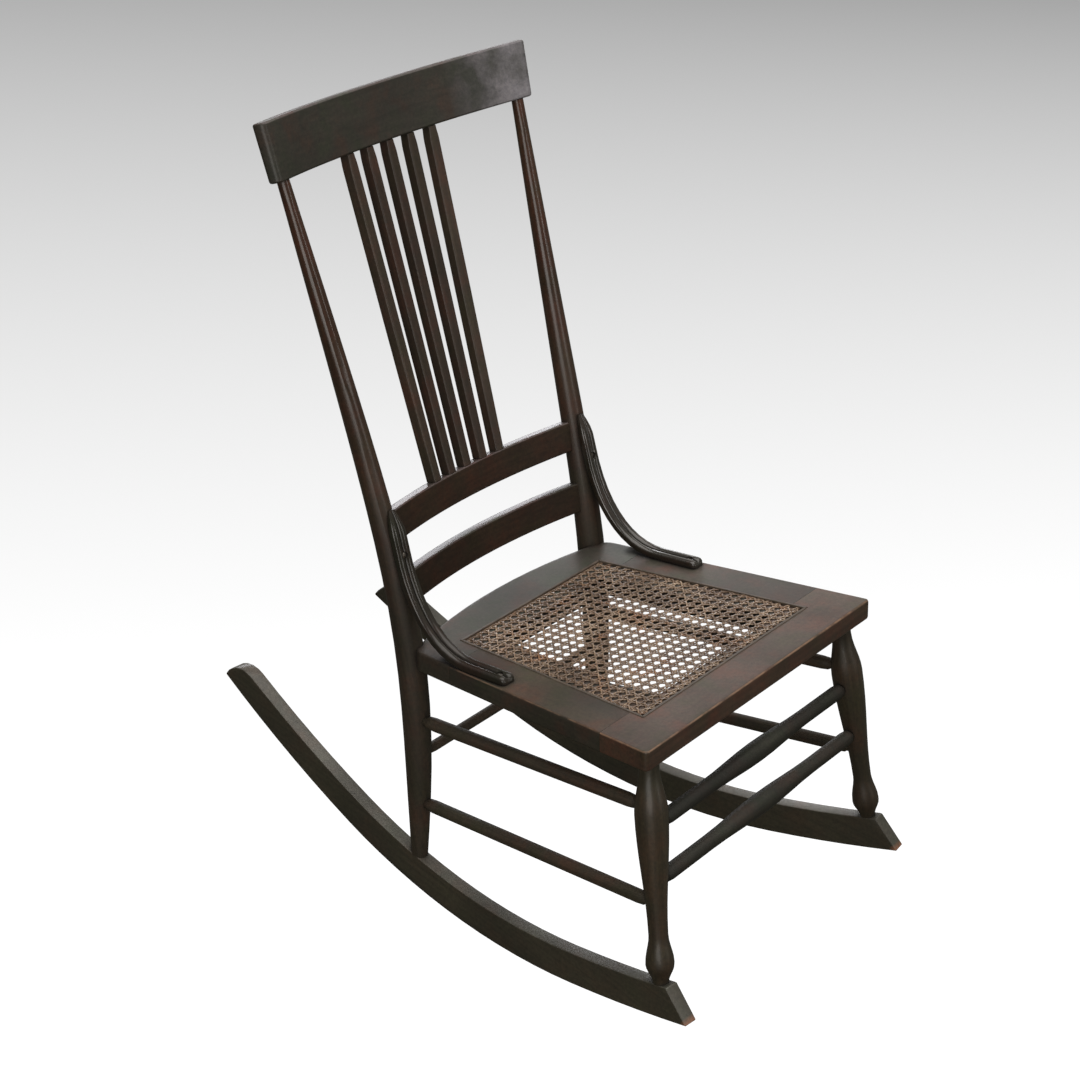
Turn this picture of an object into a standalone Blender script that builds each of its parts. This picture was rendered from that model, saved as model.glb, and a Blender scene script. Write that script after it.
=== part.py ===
import math

import bmesh
import bpy
from mathutils import Matrix, Vector

for old in list(bpy.data.objects):
    bpy.data.objects.remove(old, do_unlink=True)

# Sizes in metres. X runs across, the front faces -Y, the floor is Z = 0

FIT = 0.0003  # clearance between pieces that seat on each other

# Rockers
ROCKER_THICK = 0.0185
ROCKER_DEPTH = 0.0400
ROCKER_THIN = 0.0030  # how much of the depth is lost at the tail
ROCKER_THIN_FROM = 0.26  # behind this place, clear of where the chair stands
ROCKER_HALF = 0.1912  # half spacing at the contact point
ROCKER_TOE = 0.110  # how much the spacing closes for each metre to the rear
CONTACT_Y = 0.0  # where the curve is lowest while the seat is nearly level
REST_LEAN = 12.3  # degrees that the empty chair leans back to stand in balance
ROCKER_RADIUS = 0.72  # working part of the curve
ROCKER_FRONT_RADIUS = 1.80
ROCKER_TAIL_RADIUS = 1.45
ROCKER_FRONT_TURN = 7.0  # degrees of curve before the front flattens
ROCKER_TAIL_TURN = 23.7  # degrees of curve before the tail flattens
ROCKER_FRONT_LENGTH = 0.2565  # along the curve from its low point
ROCKER_TAIL_LENGTH = 0.5310
ROCKER_FACET = 2.25  # degrees turned by one facet of the working part
ROCKER_FLAT = 0.0005  # depth of the worn flat where it stands
ROCKER_NOSE = 0.0215  # slant of the front end
ROCKER_TIP = 0.035  # length of the rounded tail end
ROCKER_EDGE = 0.0014

# Seat frame
SEAT_FRONT_Z = 0.3431
SEAT_PITCH = 2.4  # degrees down to the rear
SEAT_THICK = 0.024
SEAT_FRONT_Y = -0.186
SEAT_REAR_Y = 0.187
SEAT_REAR_BOW = 0.0245
SEAT_FRONT_HALF = 0.2225
SEAT_REAR_HALF = 0.1810
SEAT_FRONT_CORNER = 0.0055
SEAT_REAR_CORNER = 0.020
SEAT_EDGE = 0.0026
FRONT_BOARD_WIDTH = 0.066
REAR_BOARD_WIDTH = 0.083
SIDE_BOARD_FRONT_WIDTH = 0.1015
SIDE_BOARD_REAR_WIDTH = 0.0840
FRAME_TONGUE = 0.014
FRAME_TONGUE_THICK = 0.008
FRAME_TONGUE_SHARE = 0.55  # of the width of the joint
FRAME_TONGUE_AT = 0.62  # share of the thickness, from the top
FRONT_JOINT_Y = SEAT_FRONT_Y + FRONT_BOARD_WIDTH
REAR_JOINT_Y = SEAT_REAR_Y - REAR_BOARD_WIDTH
OPENING_FRONT_HALF = SEAT_FRONT_HALF - SIDE_BOARD_FRONT_WIDTH
OPENING_REAR_HALF = SEAT_REAR_HALF - SIDE_BOARD_REAR_WIDTH

# Cane panel and its splines
CANE_FRONT_MARGIN = 0.0470  # from the edge of the seat to the cane
CANE_REAR_MARGIN = 0.0515
CANE_SIDE_FRONT_MARGIN = 0.0600
CANE_SIDE_REAR_MARGIN = 0.0495
CANE_FRONT_Y = SEAT_FRONT_Y + CANE_FRONT_MARGIN
CANE_REAR_Y = SEAT_REAR_Y - CANE_REAR_MARGIN
CANE_FRONT_HALF = SEAT_FRONT_HALF - CANE_SIDE_FRONT_MARGIN
CANE_REAR_HALF = SEAT_REAR_HALF - CANE_SIDE_REAR_MARGIN
CANE_THICK = 0.0016
CANE_STRAND = 0.0062
CANE_CELLS = 15
CANE_TONGUE = 0.0036
SPLINE_WIDTH = 0.0034
SPLINE_RISE = 0.0006
SPLINE_EDGE = 0.0005

# Rear posts
POST_FOOT_Y = 0.1613
POST_RECLINE = 16.42  # degrees above the bend
POST_BEND_Z = 0.319
POST_BEND_SOFT = 0.0675
POST_INSET = 0.0104  # from the rear corner of the seat to the middle of the post
POST_SEAT_HALF = SEAT_REAR_HALF - POST_INSET
POST_TOP_SPLAY = 4.204  # degrees outwards above the seat
POST_SPLAY_Z = 0.43
POST_SPLAY_SOFT = 0.08
POST_FOOT_R = 0.0095
POST_SEAT_R = 0.0166
POST_TOP_R = 0.0068
POST_TOP_Z = 0.8455
POST_THICK_Z = 0.30
POST_TENON_R = 0.0048
POST_TENON = 0.026
POST_OVER = 0.008  # spare length that is trimmed at both ends

# Front legs
LEG_FOOT_Y = -0.2085
LEG_SETBACK = 0.0202  # from the edges of the seat to the middle of the leg
LEG_INSET = 0.0320
LEG_TOP_Y = SEAT_FRONT_Y + LEG_SETBACK
LEG_TOP_HALF = SEAT_FRONT_HALF - LEG_INSET
LEG_FOOT_R = 0.0088
LEG_BALL_R = 0.0159
LEG_NECK_R = 0.0108
LEG_SWELL_R = 0.0184
LEG_TOP_R = 0.0114
LEG_TOP_FLARE = 0.0006
LEG_BALL_AT = 0.022  # heights above the rocker along the leg
LEG_NECK_AT = 0.055
LEG_SWELL_AT = 0.194
LEG_SHOULDER_AT = 0.243
LEG_SOCKET = 0.015
LEG_OVER = 0.004  # spare length that is trimmed to the rocker
LEG_SIDES = 16

# Tenons that stand in the rockers
FOOT_TENON_R = 0.0058
FOOT_TENON = 0.020
TENON_ROOT = 0.012  # how far the body of any tenon reaches back into its piece

# Stretchers
STRETCHER_SOCKET = 0.011
STRETCHER_END_R = 0.0055
STRETCHER_SHOW = 0.0018  # length of the thin end left in sight
STRETCHER_SHOULDER = 0.0020
STRETCHER_ROUND = 0.0008
SIDE_R = 0.0080
SIDE_UPPER_POST_Z = 0.2363
SIDE_UPPER_LEG_Z = 0.2611
SIDE_LOWER_POST_Z = 0.1294
SIDE_LOWER_LEG_Z = 0.1543
FRONT_R = 0.0088
FRONT_SWELL_R = 0.0120
FRONT_SWELL = 0.56  # share of the length that swells
FRONT_UPPER_Z = 0.240
FRONT_LOWER_Z = 0.178
REAR_R = 0.0064
REAR_Z = 0.188

# Crest and back rails
CREST_HEIGHT = 0.0650
CREST_THICK = 0.016
CREST_HALF = 0.2180
CREST_FLARE = 0.0051
CREST_RADIUS = 0.673
CREST_RECLINE = 15.5
CREST_EDGE = 0.0025
CREST_FRONT_CORNER = 0.0070  # rounding of the ends, seen from above
CREST_REAR_CORNER = 0.0040
RAIL_HEIGHT = 0.0355
RAIL_THICK = 0.0150
RAIL_RADIUS = 0.60
RAIL_EDGE = 0.0020
UPPER_RAIL_Z = 0.4605
LOWER_RAIL_Z = 0.3868
RAIL_TENON = 0.009
RAIL_TENON_THICK = 0.007
RAIL_TENON_HEIGHT = 0.022

# Slats
SLAT_COUNT = 5
SLAT_TOP_PITCH = 0.035
SLAT_LOW_PITCH = 0.0285
SLAT_NECK_WIDTH = 0.0112
SLAT_TOP_WIDTH = 0.0138
SLAT_MID_WIDTH = 0.0145
SLAT_LOW_WIDTH = 0.0130
SLAT_THICK = 0.0132
SLAT_EDGE = 0.0024
SLAT_OVER = 0.0020  # spare length that is trimmed to the rails
SLAT_NECK = 0.016  # length that narrows below the crest
SLAT_TENON = 0.012
SLAT_TENON_WIDTH = 0.0080
SLAT_TENON_THICK = 0.0070

# Seat braces
BRACE_WIDTH = 0.0210
BRACE_THICK = 0.0088
BRACE_TOP_Z = 0.484
BRACE_LEAVE_Z = 0.442
BRACE_LAND_Y = 0.080
BRACE_FRONT_Y = 0.0315  # where the rounded end starts
BRACE_UPPER_PULL = 0.075
BRACE_LOWER_PULL = 0.045
BRACE_INSET = 0.0150  # from the edge of the seat to the middle of the brace
BRACE_SINK = 0.0012  # depth of the hollow that fits the post
BRACE_BEAD = 0.0032  # height of the two beads on the face
BRACE_GROOVE = 0.0008  # width of the groove between them at its bottom
BRACE_EDGE = 0.0012
BRACE_SCARF = 0.030  # length that thins and narrows at the top
BRACE_TOP_THICK = 0.35  # shares of the thickness and width left there
BRACE_TOP_WIDTH = 0.42
BRACE_NOSE = 0.0075  # length of the rounded front end

# Screws
SCREW_HEAD_R = 0.0038
SCREW_HEAD = 0.0022
SCREW_SHANK_R = 0.0020
BRACE_SCREW = 0.019
BRACE_SCREW_Z = 0.434
BRACE_SCREW_Y = 0.0385
SEAT_SCREW = 0.046
SEAT_SCREW_AT = 0.58  # share of the thickness of the seat, from the top
SCREW_SINK = 0.0012  # of the head in the post
SCREW_CLEAR = 0.010  # open height above the head

# Colours as base colour, roughness and metallic
STAINED_WOOD = ((0.017, 0.011, 0.008, 1.0), 0.34, 0.0)
TURNED_WOOD = ((0.020, 0.011, 0.008, 1.0), 0.32, 0.0)
BRACE_WOOD = ((0.013, 0.009, 0.008, 1.0), 0.24, 0.0)
CANE = ((0.170, 0.085, 0.040, 1.0), 0.48, 0.0)
SPLINE_WOOD = ((0.030, 0.016, 0.010, 1.0), 0.45, 0.0)
STEEL = ((0.060, 0.052, 0.046, 1.0), 0.42, 1.0)

SIDES = {"right": -1, "left": 1}

chair = bpy.data.collections.new("rocking_chair")
bpy.context.scene.collection.children.link(chair)
helpers = bpy.data.collections.new("cutters")
bpy.context.scene.collection.children.link(helpers)
helpers.hide_render = True


# Placing and joining

def node(obj, name, look):
    """Names an object as a sub-part of the chair and gives it its material."""
    for holder in list(obj.users_collection):
        holder.objects.unlink(obj)
    chair.objects.link(obj)
    obj.name = name
    obj.data.name = name
    colour, roughness, metallic = look
    material = bpy.data.materials.new(name)
    material.use_nodes = True
    shader = material.node_tree.nodes["Principled BSDF"]
    shader.inputs["Base Color"].default_value = colour
    shader.inputs["Roughness"].default_value = roughness
    shader.inputs["Metallic"].default_value = metallic
    material.diffuse_color = colour
    obj.data.materials.clear()
    obj.data.materials.append(material)
    return obj


def helper(obj, name):
    """Keeps an object out of the render, for use by a Boolean."""
    obj.name = name
    obj.hide_render = True
    obj.display_type = "WIRE"
    return obj


def fresh(name, data, matrix):
    obj = bpy.data.objects.new(name, data)
    obj.matrix_world = matrix
    helpers.objects.link(obj)
    return obj


def meshed(obj):
    """Turns a curve into a closed mesh object in the same place."""
    bpy.context.view_layer.update()
    graph = bpy.context.evaluated_depsgraph_get()
    mesh = bpy.data.meshes.new_from_object(obj.evaluated_get(graph))
    work = bmesh.new()
    work.from_mesh(mesh)
    bmesh.ops.remove_doubles(work, verts=work.verts, dist=1e-6)
    bmesh.ops.dissolve_limit(work, angle_limit=math.radians(0.05), verts=work.verts, edges=work.edges)
    bmesh.ops.recalc_face_normals(work, faces=work.faces)
    work.to_mesh(mesh)
    work.free()
    matrix = obj.matrix_world.copy()
    name = obj.name
    bpy.data.objects.remove(obj, do_unlink=True)
    return fresh(name, mesh, matrix)


def boolean(obj, other, operation="DIFFERENCE"):
    cut = obj.modifiers.new(operation.lower(), "BOOLEAN")
    cut.operation = operation
    cut.solver = "EXACT"
    cut.object = other
    return obj


def rounded(obj, width, segments=2, angle=35):
    bevel = obj.modifiers.new("edges", "BEVEL")
    bevel.width = width
    bevel.segments = segments
    bevel.limit_method = "ANGLE"
    bevel.angle_limit = math.radians(angle)
    return obj


def smooth(obj, angle=35):
    for face in obj.data.polygons:
        face.use_smooth = True
    obj.data.set_sharp_from_angle(angle=math.radians(angle))
    return obj


def frame(origin, x_axis, y_axis, z_axis):
    """Matrix with the given origin and unit axes."""
    turn = Matrix((x_axis, y_axis, z_axis)).transposed()
    return Matrix.Translation(origin) @ turn.to_4x4()


def along(start, end):
    """Matrix at start whose Z axis points to end."""
    start = Vector(start)
    turn = Vector((0, 0, 1)).rotation_difference(Vector(end) - start)
    return Matrix.Translation(start) @ turn.to_matrix().to_4x4()


# Modelling tools

def flat(name, outlines, thick, matrix):
    """A flat outline, with any holes, thickened to both sides of its plane."""
    curve = bpy.data.curves.new(name, "CURVE")
    curve.dimensions = "2D"
    curve.fill_mode = "BOTH"
    curve.extrude = thick / 2
    for outline in outlines:
        spline = curve.splines.new("POLY")
        spline.points.add(len(outline) - 1)
        for point, (x, y) in zip(spline.points, outline):
            point.co = (x, y, 0, 1)
        spline.use_cyclic_u = True
    return meshed(fresh(name, curve, matrix))


def swept(name, path, radii, resolution):
    """A round bar that follows a path, with a radius at each point."""
    curve = bpy.data.curves.new(name, "CURVE")
    curve.dimensions = "3D"
    curve.bevel_depth = 1.0
    curve.bevel_resolution = resolution
    curve.use_fill_caps = True
    spline = curve.splines.new("POLY")
    spline.points.add(len(path) - 1)
    for point, place, radius in zip(spline.points, path, radii):
        point.co = (*place, 1)
        point.radius = radius
    return meshed(fresh(name, curve, Matrix.Identity(4)))


def lofted(name, rings, matrix):
    """A closed skin over outlines that have the same number of points."""
    mesh = bpy.data.meshes.new(name)
    work = bmesh.new()
    rows = [[work.verts.new(point) for point in ring] for ring in rings]
    for row, following in zip(rows, rows[1:]):
        for i in range(len(row)):
            j = (i + 1) % len(row)
            work.faces.new((row[i], row[j], following[j], following[i]))
    work.faces.new(rows[0][::-1])
    work.faces.new(rows[-1])
    bmesh.ops.recalc_face_normals(work, faces=work.faces)
    work.to_mesh(mesh)
    work.free()
    return fresh(name, mesh, matrix)


def turned(name, profile, matrix, steps):
    """A lathe shape: profile is (radius, height) pairs from top to bottom."""
    mesh = bpy.data.meshes.new(name)
    work = bmesh.new()
    points = [(0.0, profile[0][1]), *profile, (0.0, profile[-1][1])]
    verts = [work.verts.new((radius, 0, height)) for radius, height in points]
    for first, second in zip(verts, verts[1:]):
        work.edges.new((first, second))
    work.to_mesh(mesh)
    work.free()
    obj = fresh(name, mesh, matrix)
    screw = obj.modifiers.new("lathe", "SCREW")
    screw.steps = steps
    screw.render_steps = steps
    screw.use_merge_vertices = True
    screw.merge_threshold = 0.00001
    screw.use_smooth_shade = True
    return obj


def rod(name, radius, start, end, sides=12):
    """A plain cylinder between two points."""
    length = (Vector(end) - Vector(start)).length
    mesh = bpy.data.meshes.new(name)
    work = bmesh.new()
    place = Matrix.Translation((0, 0, length / 2))
    bmesh.ops.create_cone(
        work, cap_ends=True, segments=sides, radius1=radius, radius2=radius, depth=length, matrix=place
    )
    work.to_mesh(mesh)
    work.free()
    return helper(fresh(name, mesh, along(start, end)), name)


def screw_shape(length, grow=0.0, clear=0.0):
    """Head and shank of a screw from the top down, or the hole that takes it."""
    head = SCREW_HEAD_R + grow
    under = length - SCREW_HEAD - grow
    crown = [(head, length + clear)] if clear else [(head * 0.75, length), (head, length - SCREW_HEAD * 0.3)]
    return crown + [(head, under), (SCREW_SHANK_R + grow, under), (SCREW_SHANK_R + grow, -grow)]


def block(name, size, matrix):
    """A plain box centred on the matrix."""
    mesh = bpy.data.meshes.new(name)
    work = bmesh.new()
    bmesh.ops.create_cube(work, size=1.0, matrix=Matrix.Diagonal((*size, 1.0)))
    work.to_mesh(mesh)
    work.free()
    return helper(fresh(name, mesh, matrix), name)


# Curves that the pieces share

def blend(t):
    """Runs from 0 to 1 with level ends."""
    return (1 - math.cos(math.pi * min(max(t, 0.0), 1.0))) / 2


def bend(value, at, soft):
    """Nothing below the bend, then a straight rise, with a soft change."""
    return soft * math.log1p(math.exp((value - at) / soft))


def fillet(before, corner, after, radius, count):
    """Points that round a corner of an outline."""
    corner = Vector(corner)
    one = (Vector(before) - corner).normalized()
    two = (Vector(after) - corner).normalized()
    half = one.angle(two) / 2
    middle = corner + (one + two).normalized() * radius / math.sin(half)
    start = corner + one * radius / math.tan(half) - middle
    end = corner + two * radius / math.tan(half) - middle
    sweep = start.angle_signed(end)
    found = []
    for i in range(count + 1):
        turn = Matrix.Rotation(-sweep * i / count, 2)
        found.append(tuple(middle + turn @ start))
    return found


def rocker_lines(grow=0.0):
    """Bottom and top of a rocker in the side view, from the front end to the tail."""
    turns = []
    turn = REST_LEAN + ROCKER_FACET / 2
    while turn < ROCKER_TAIL_TURN:
        turns.append(turn)
        turn += ROCKER_FACET
    turn = REST_LEAN - ROCKER_FACET / 2
    while turn > -ROCKER_FRONT_TURN:
        turns.insert(0, turn)
        turn -= ROCKER_FACET
    stations = []
    for turn in turns:
        angle = math.radians(turn)
        stations.append((ROCKER_RADIUS * math.sin(angle), ROCKER_RADIUS * (1 - math.cos(angle)), angle))

    def carry_on(first, radius, total, sign, count):
        y, z, angle = first
        length = total - ROCKER_RADIUS * abs(angle)
        found = []
        for i in range(1, count + 1):
            new = angle + sign * length / radius * i / count
            found.append((
                y + radius * (math.sin(new) - math.sin(angle)),
                z - radius * (math.cos(new) - math.cos(angle)),
                new,
            ))
        return found

    front = carry_on(stations[0], ROCKER_FRONT_RADIUS, ROCKER_FRONT_LENGTH, -1, 5)
    tail = carry_on(stations[-1], ROCKER_TAIL_RADIUS, ROCKER_TAIL_LENGTH, 1, 7)
    bottom = []
    top = []
    for y, z, angle in front[::-1] + stations + tail:
        normal = (-math.sin(angle), math.cos(angle))
        thinner = max((y - ROCKER_THIN_FROM) / (ROCKER_TAIL_LENGTH - ROCKER_THIN_FROM), 0.0)
        low = ROCKER_THIN * thinner - grow
        high = ROCKER_DEPTH + grow
        bottom.append((CONTACT_Y + y + normal[0] * low, z + normal[1] * low))
        top.append((CONTACT_Y + y + normal[0] * high, z + normal[1] * high))
    return bottom, top


def rocker_outline(grow=0.0):
    bottom, top = rocker_lines(grow)
    nose = ROCKER_NOSE - grow
    front = Vector(bottom[0]) - Vector(bottom[1])
    front.normalize()
    start = Vector(top[0]) - front * nose
    kept_top = [p for p in top if p[0] > start.x + 0.004]
    tip = Vector(bottom[-1])
    over = Vector(top[-1])
    back = (Vector(top[-1]) - Vector(top[-2])).normalized()
    kept_top = [p for p in kept_top if (over - Vector(p)).dot(back) > ROCKER_TIP + 0.004]
    outline = [tuple(p) for p in bottom]
    for i in range(1, 7):
        t = math.radians(90 * i / 6)
        out = back * (-ROCKER_TIP * (1 - math.cos(t)))
        up = (over - tip) * math.sin(t)
        outline.append(tuple(tip + out + up))
    outline += kept_top[::-1]
    outline.append(tuple(start))
    return outline


def rocker_run(y):
    """Place along a rocker, which stands at a small angle, for a place along the chair."""
    return CONTACT_Y + (y - CONTACT_Y) / math.cos(math.atan(ROCKER_TOE))


def rocker_top(y):
    """Height of the top of a rocker."""
    run = rocker_run(y)
    top = rocker_lines()[1]
    for (y0, z0), (y1, z1) in zip(top, top[1:]):
        if y0 <= run <= y1:
            return z0 + (z1 - z0) * (run - y0) / (y1 - y0)
    raise ValueError("no rocker at this place")


def rocker_half(y):
    return ROCKER_HALF - ROCKER_TOE * (y - CONTACT_Y)


def seat_top(y):
    return SEAT_FRONT_Z - math.tan(math.radians(SEAT_PITCH)) * (y - SEAT_FRONT_Y)


def seat_half(y):
    return SEAT_FRONT_HALF + (SEAT_REAR_HALF - SEAT_FRONT_HALF) * (y - SEAT_FRONT_Y) / (
        SEAT_REAR_Y - SEAT_REAR_BOW - SEAT_FRONT_Y
    )


def post_radius(z):
    foot = rocker_top(POST_FOOT_Y)
    if z < POST_THICK_Z:
        t = max((z - foot) / (POST_THICK_Z - foot), 0.0)
        return POST_FOOT_R + (POST_SEAT_R - POST_FOOT_R) * (1 - (1 - t) ** 2.3)
    t = (z - POST_THICK_Z) / (POST_TOP_Z - POST_THICK_Z)
    return POST_SEAT_R + (POST_TOP_R - POST_SEAT_R) * min(t, 1.0) ** 1.22


def post_axis(z, side=1):
    y = POST_FOOT_Y + math.tan(math.radians(POST_RECLINE)) * bend(z, POST_BEND_Z, POST_BEND_SOFT)
    foot = rocker_top(POST_FOOT_Y)
    share = max(POST_THICK_Z - z, 0.0) / (POST_THICK_Z - foot)
    low = (rocker_half(POST_FOOT_Y) - POST_SEAT_HALF) * share ** 2
    leave = bend(z, POST_SPLAY_Z, POST_SPLAY_SOFT) - bend(POST_THICK_Z, POST_SPLAY_Z, POST_SPLAY_SOFT)
    x = POST_SEAT_HALF + low + math.tan(math.radians(POST_TOP_SPLAY)) * max(leave, 0.0)
    return Vector((side * x, y, z))


def post_way(z, side=1):
    """Direction of a post at this height, pointing up."""
    step = 0.001
    return (post_axis(z + step, side) - post_axis(z - step, side)).normalized()


def leg_ends(side):
    foot = Vector((side * rocker_half(LEG_FOOT_Y), LEG_FOOT_Y, rocker_top(LEG_FOOT_Y)))
    head = Vector((side * LEG_TOP_HALF, LEG_TOP_Y, seat_top(LEG_TOP_Y) - SEAT_THICK))
    return foot, head


def leg_axis(z, side):
    foot, head = leg_ends(side)
    return foot + (head - foot) * (z - foot.z) / (head.z - foot.z)


def leg_profile():
    """(radius, height) pairs from the socket down to below the rocker's top."""
    foot, head = leg_ends(1)
    length = (head - foot).length
    marks = [
        (LEG_TOP_R + LEG_TOP_FLARE, length),
        (LEG_TOP_R, LEG_SHOULDER_AT),
        (LEG_SWELL_R, LEG_SWELL_AT),
        (LEG_NECK_R, LEG_NECK_AT),
        (LEG_BALL_R, LEG_BALL_AT),
        (LEG_FOOT_R, 0.0),
    ]
    counts = [1, 6, 8, 5, 5]
    profile = [(LEG_TOP_R, length + LEG_SOCKET)]
    for (r0, h0), (r1, h1), count in zip(marks, marks[1:], counts):
        for i in range(count):
            t = i / count
            profile.append((r0 + (r1 - r0) * blend(t), h0 + (h1 - h0) * t))
    profile.append(marks[-1])
    profile.append((LEG_FOOT_R, -LEG_OVER))
    return profile


def leg_radius(z):
    foot, head = leg_ends(1)
    height = (z - foot.z) / (head.z - foot.z) * (head - foot).length
    profile = leg_profile()
    for (r1, h1), (r0, h0) in zip(profile, profile[1:]):
        if h0 <= height <= h1:
            return r0 + (r1 - r0) * (height - h0) / max(h1 - h0, 1e-9)
    return LEG_TOP_R


# Rockers, with slabs that trim the feet of the posts and legs

# The floor as it lies while the chair leans back at rest, a little above the lowest edges
lean = math.radians(REST_LEAN)
low_run = ROCKER_RADIUS * math.sin(lean) * math.cos(math.atan(ROCKER_TOE))
low_point = Vector((0, CONTACT_Y + low_run, ROCKER_RADIUS * (1 - math.cos(lean))))
floor_place = Matrix.Translation(low_point) @ Matrix.Rotation(lean, 4, "X")
floor_block = block("floor", (0.6, 0.2, 0.02), floor_place @ Matrix.Translation((0, 0, ROCKER_FLAT - 0.01)))

rockers = {}
trims = {}
for label, side in SIDES.items():
    ahead = Vector((-side * ROCKER_TOE, 1, 0)).normalized()
    across = ahead.cross(Vector((0, 0, 1)))
    spot = Vector((side * ROCKER_HALF, CONTACT_Y, 0)) - ahead * CONTACT_Y
    place = frame(spot, ahead, Vector((0, 0, 1)), across)
    board = flat(f"{label}_rocker", [rocker_outline()], ROCKER_THICK, place)
    rockers[side] = rounded(board, ROCKER_EDGE, 1)
    boolean(rockers[side], floor_block)
    trims[side] = helper(flat(f"trim_{label}", [rocker_outline(FIT)], ROCKER_THICK * 4, place), f"trim_{label}")


# Rear posts

posts = {}
post_envelopes = {}
foot_z = rocker_top(POST_FOOT_Y)
post_start = foot_z - POST_OVER
heights = [post_start + (POST_TOP_Z + POST_OVER - post_start) * i / 20 for i in range(21)]
for label, side in SIDES.items():
    path = [post_axis(z, side) for z in heights]
    radii = [post_radius(z) for z in heights]
    posts[side] = swept(f"{label}_rear_post", path, radii, 4)
    fat = [r + FIT for r in radii]
    post_envelopes[side] = helper(swept(f"envelope_{label}", path, fat, 4), f"envelope_{label}")
    foot = post_axis(foot_z, side)
    low = foot - Vector((0, 0, FOOT_TENON))
    high = foot + Vector((0, 0, TENON_ROOT))
    boolean(posts[side], trims[side])
    boolean(posts[side], rod(f"post_tenon_{label}", FOOT_TENON_R, low, high), "UNION")
    hole = rod(f"post_hole_{label}", FOOT_TENON_R + FIT, low - Vector((0, 0, FIT)), high)
    boolean(rockers[side], hole)


# Crest rail

def arc_y(x, radius):
    """Setback of a bowed rail from its middle."""
    return math.sqrt(radius * radius - x * x) - radius


def bowed(reach, radius, thick, count):
    """Plan outline of a bowed strip."""
    most = math.asin(reach / radius)
    turns = [-most + 2 * most * i / count for i in range(count + 1)]
    outer = [((radius + thick / 2) * math.sin(t), (radius + thick / 2) * math.cos(t) - radius) for t in turns]
    inner = [((radius - thick / 2) * math.sin(t), (radius - thick / 2) * math.cos(t) - radius) for t in turns]
    return outer + inner[::-1]


def reclined(degrees):
    return Matrix.Rotation(-math.radians(degrees), 4, "X")


def back_place(at, radius, degrees, drop):
    """Matrix of a bowed rail whose middle line meets both posts at a height."""
    turn = reclined(degrees)
    local = Vector((0, arc_y(at.x, radius), drop))
    return Matrix.Translation(Vector((0, at.y, at.z)) - turn @ local) @ turn


def crest_outline(count=20):
    """Plan outline of the crest, with rounded ends."""
    sharp = bowed(CREST_HALF, CREST_RADIUS, CREST_THICK, count)
    corners = {0: CREST_REAR_CORNER, count: CREST_REAR_CORNER, count + 1: CREST_FRONT_CORNER}
    corners[len(sharp) - 1] = CREST_FRONT_CORNER
    outline = []
    for i, point in enumerate(sharp):
        if i in corners:
            outline += fillet(sharp[i - 1], point, sharp[(i + 1) % len(sharp)], corners[i], 4)
        else:
            outline.append(point)
    return outline


crest_place = back_place(post_axis(POST_TOP_Z), CREST_RADIUS, CREST_RECLINE, -CREST_HEIGHT / 2)
crest = flat("crest_rail", [crest_outline()], CREST_HEIGHT, crest_place)
for vert in crest.data.vertices:
    if vert.co.z > 0:
        vert.co.x *= 1 + CREST_FLARE / CREST_HALF
rounded(crest, CREST_EDGE, 2)
ceiling = crest_place @ Matrix.Translation((0, 0, -FIT))
crest_trim = block("trim_crest", (4 * CREST_HALF, 2 * CREST_HALF, CREST_HEIGHT), ceiling)
for label, side in SIDES.items():
    top = post_axis(POST_TOP_Z, side)
    way = post_way(POST_TOP_Z, side)
    low = top - way * TENON_ROOT
    high = top + way * POST_TENON
    boolean(posts[side], crest_trim)
    boolean(posts[side], rod(f"crest_tenon_{label}", POST_TENON_R, low, high), "UNION")
    boolean(crest, rod(f"crest_hole_{label}", POST_TENON_R + FIT, low, high + way * FIT))


# Back rails, coped to the posts and tenoned into them

def back_rail(name, z):
    at = post_axis(z)
    lean = math.degrees(math.atan2(post_way(z).y, post_way(z).z))
    place = back_place(at, RAIL_RADIUS, lean, 0)
    rail = flat(name, [bowed(at.x, RAIL_RADIUS, RAIL_THICK, 16)], RAIL_HEIGHT, place)
    rounded(rail, RAIL_EDGE, 2)
    for label, side in SIDES.items():
        boolean(rail, post_envelopes[side])
    for label, side in SIDES.items():
        axis = post_axis(z, side)
        turn = math.asin(at.x / RAIL_RADIUS)
        inward = place.to_3x3() @ Vector((-side * math.cos(turn), math.sin(turn), 0))
        up = place.to_3x3() @ Vector((0, 0, 1))
        facing = up.cross(inward)
        start = post_radius(z) - RAIL_TENON
        length = RAIL_TENON + TENON_ROOT
        middle = axis + inward * (start + length / 2)
        size = (length, RAIL_TENON_THICK, RAIL_TENON_HEIGHT)
        boolean(rail, block(f"{name}_tenon_{label}", size, frame(middle, inward, facing, up)), "UNION")
        loose = (length + 2 * FIT, RAIL_TENON_THICK + 2 * FIT, RAIL_TENON_HEIGHT + 2 * FIT)
        boolean(posts[side], block(f"{name}_mortise_{label}", loose, frame(middle, inward, facing, up)))
    return rail, place


upper_rail, upper_place = back_rail("upper_back_rail", UPPER_RAIL_Z)
lower_rail, lower_place = back_rail("lower_back_rail", LOWER_RAIL_Z)


# Slats

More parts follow.
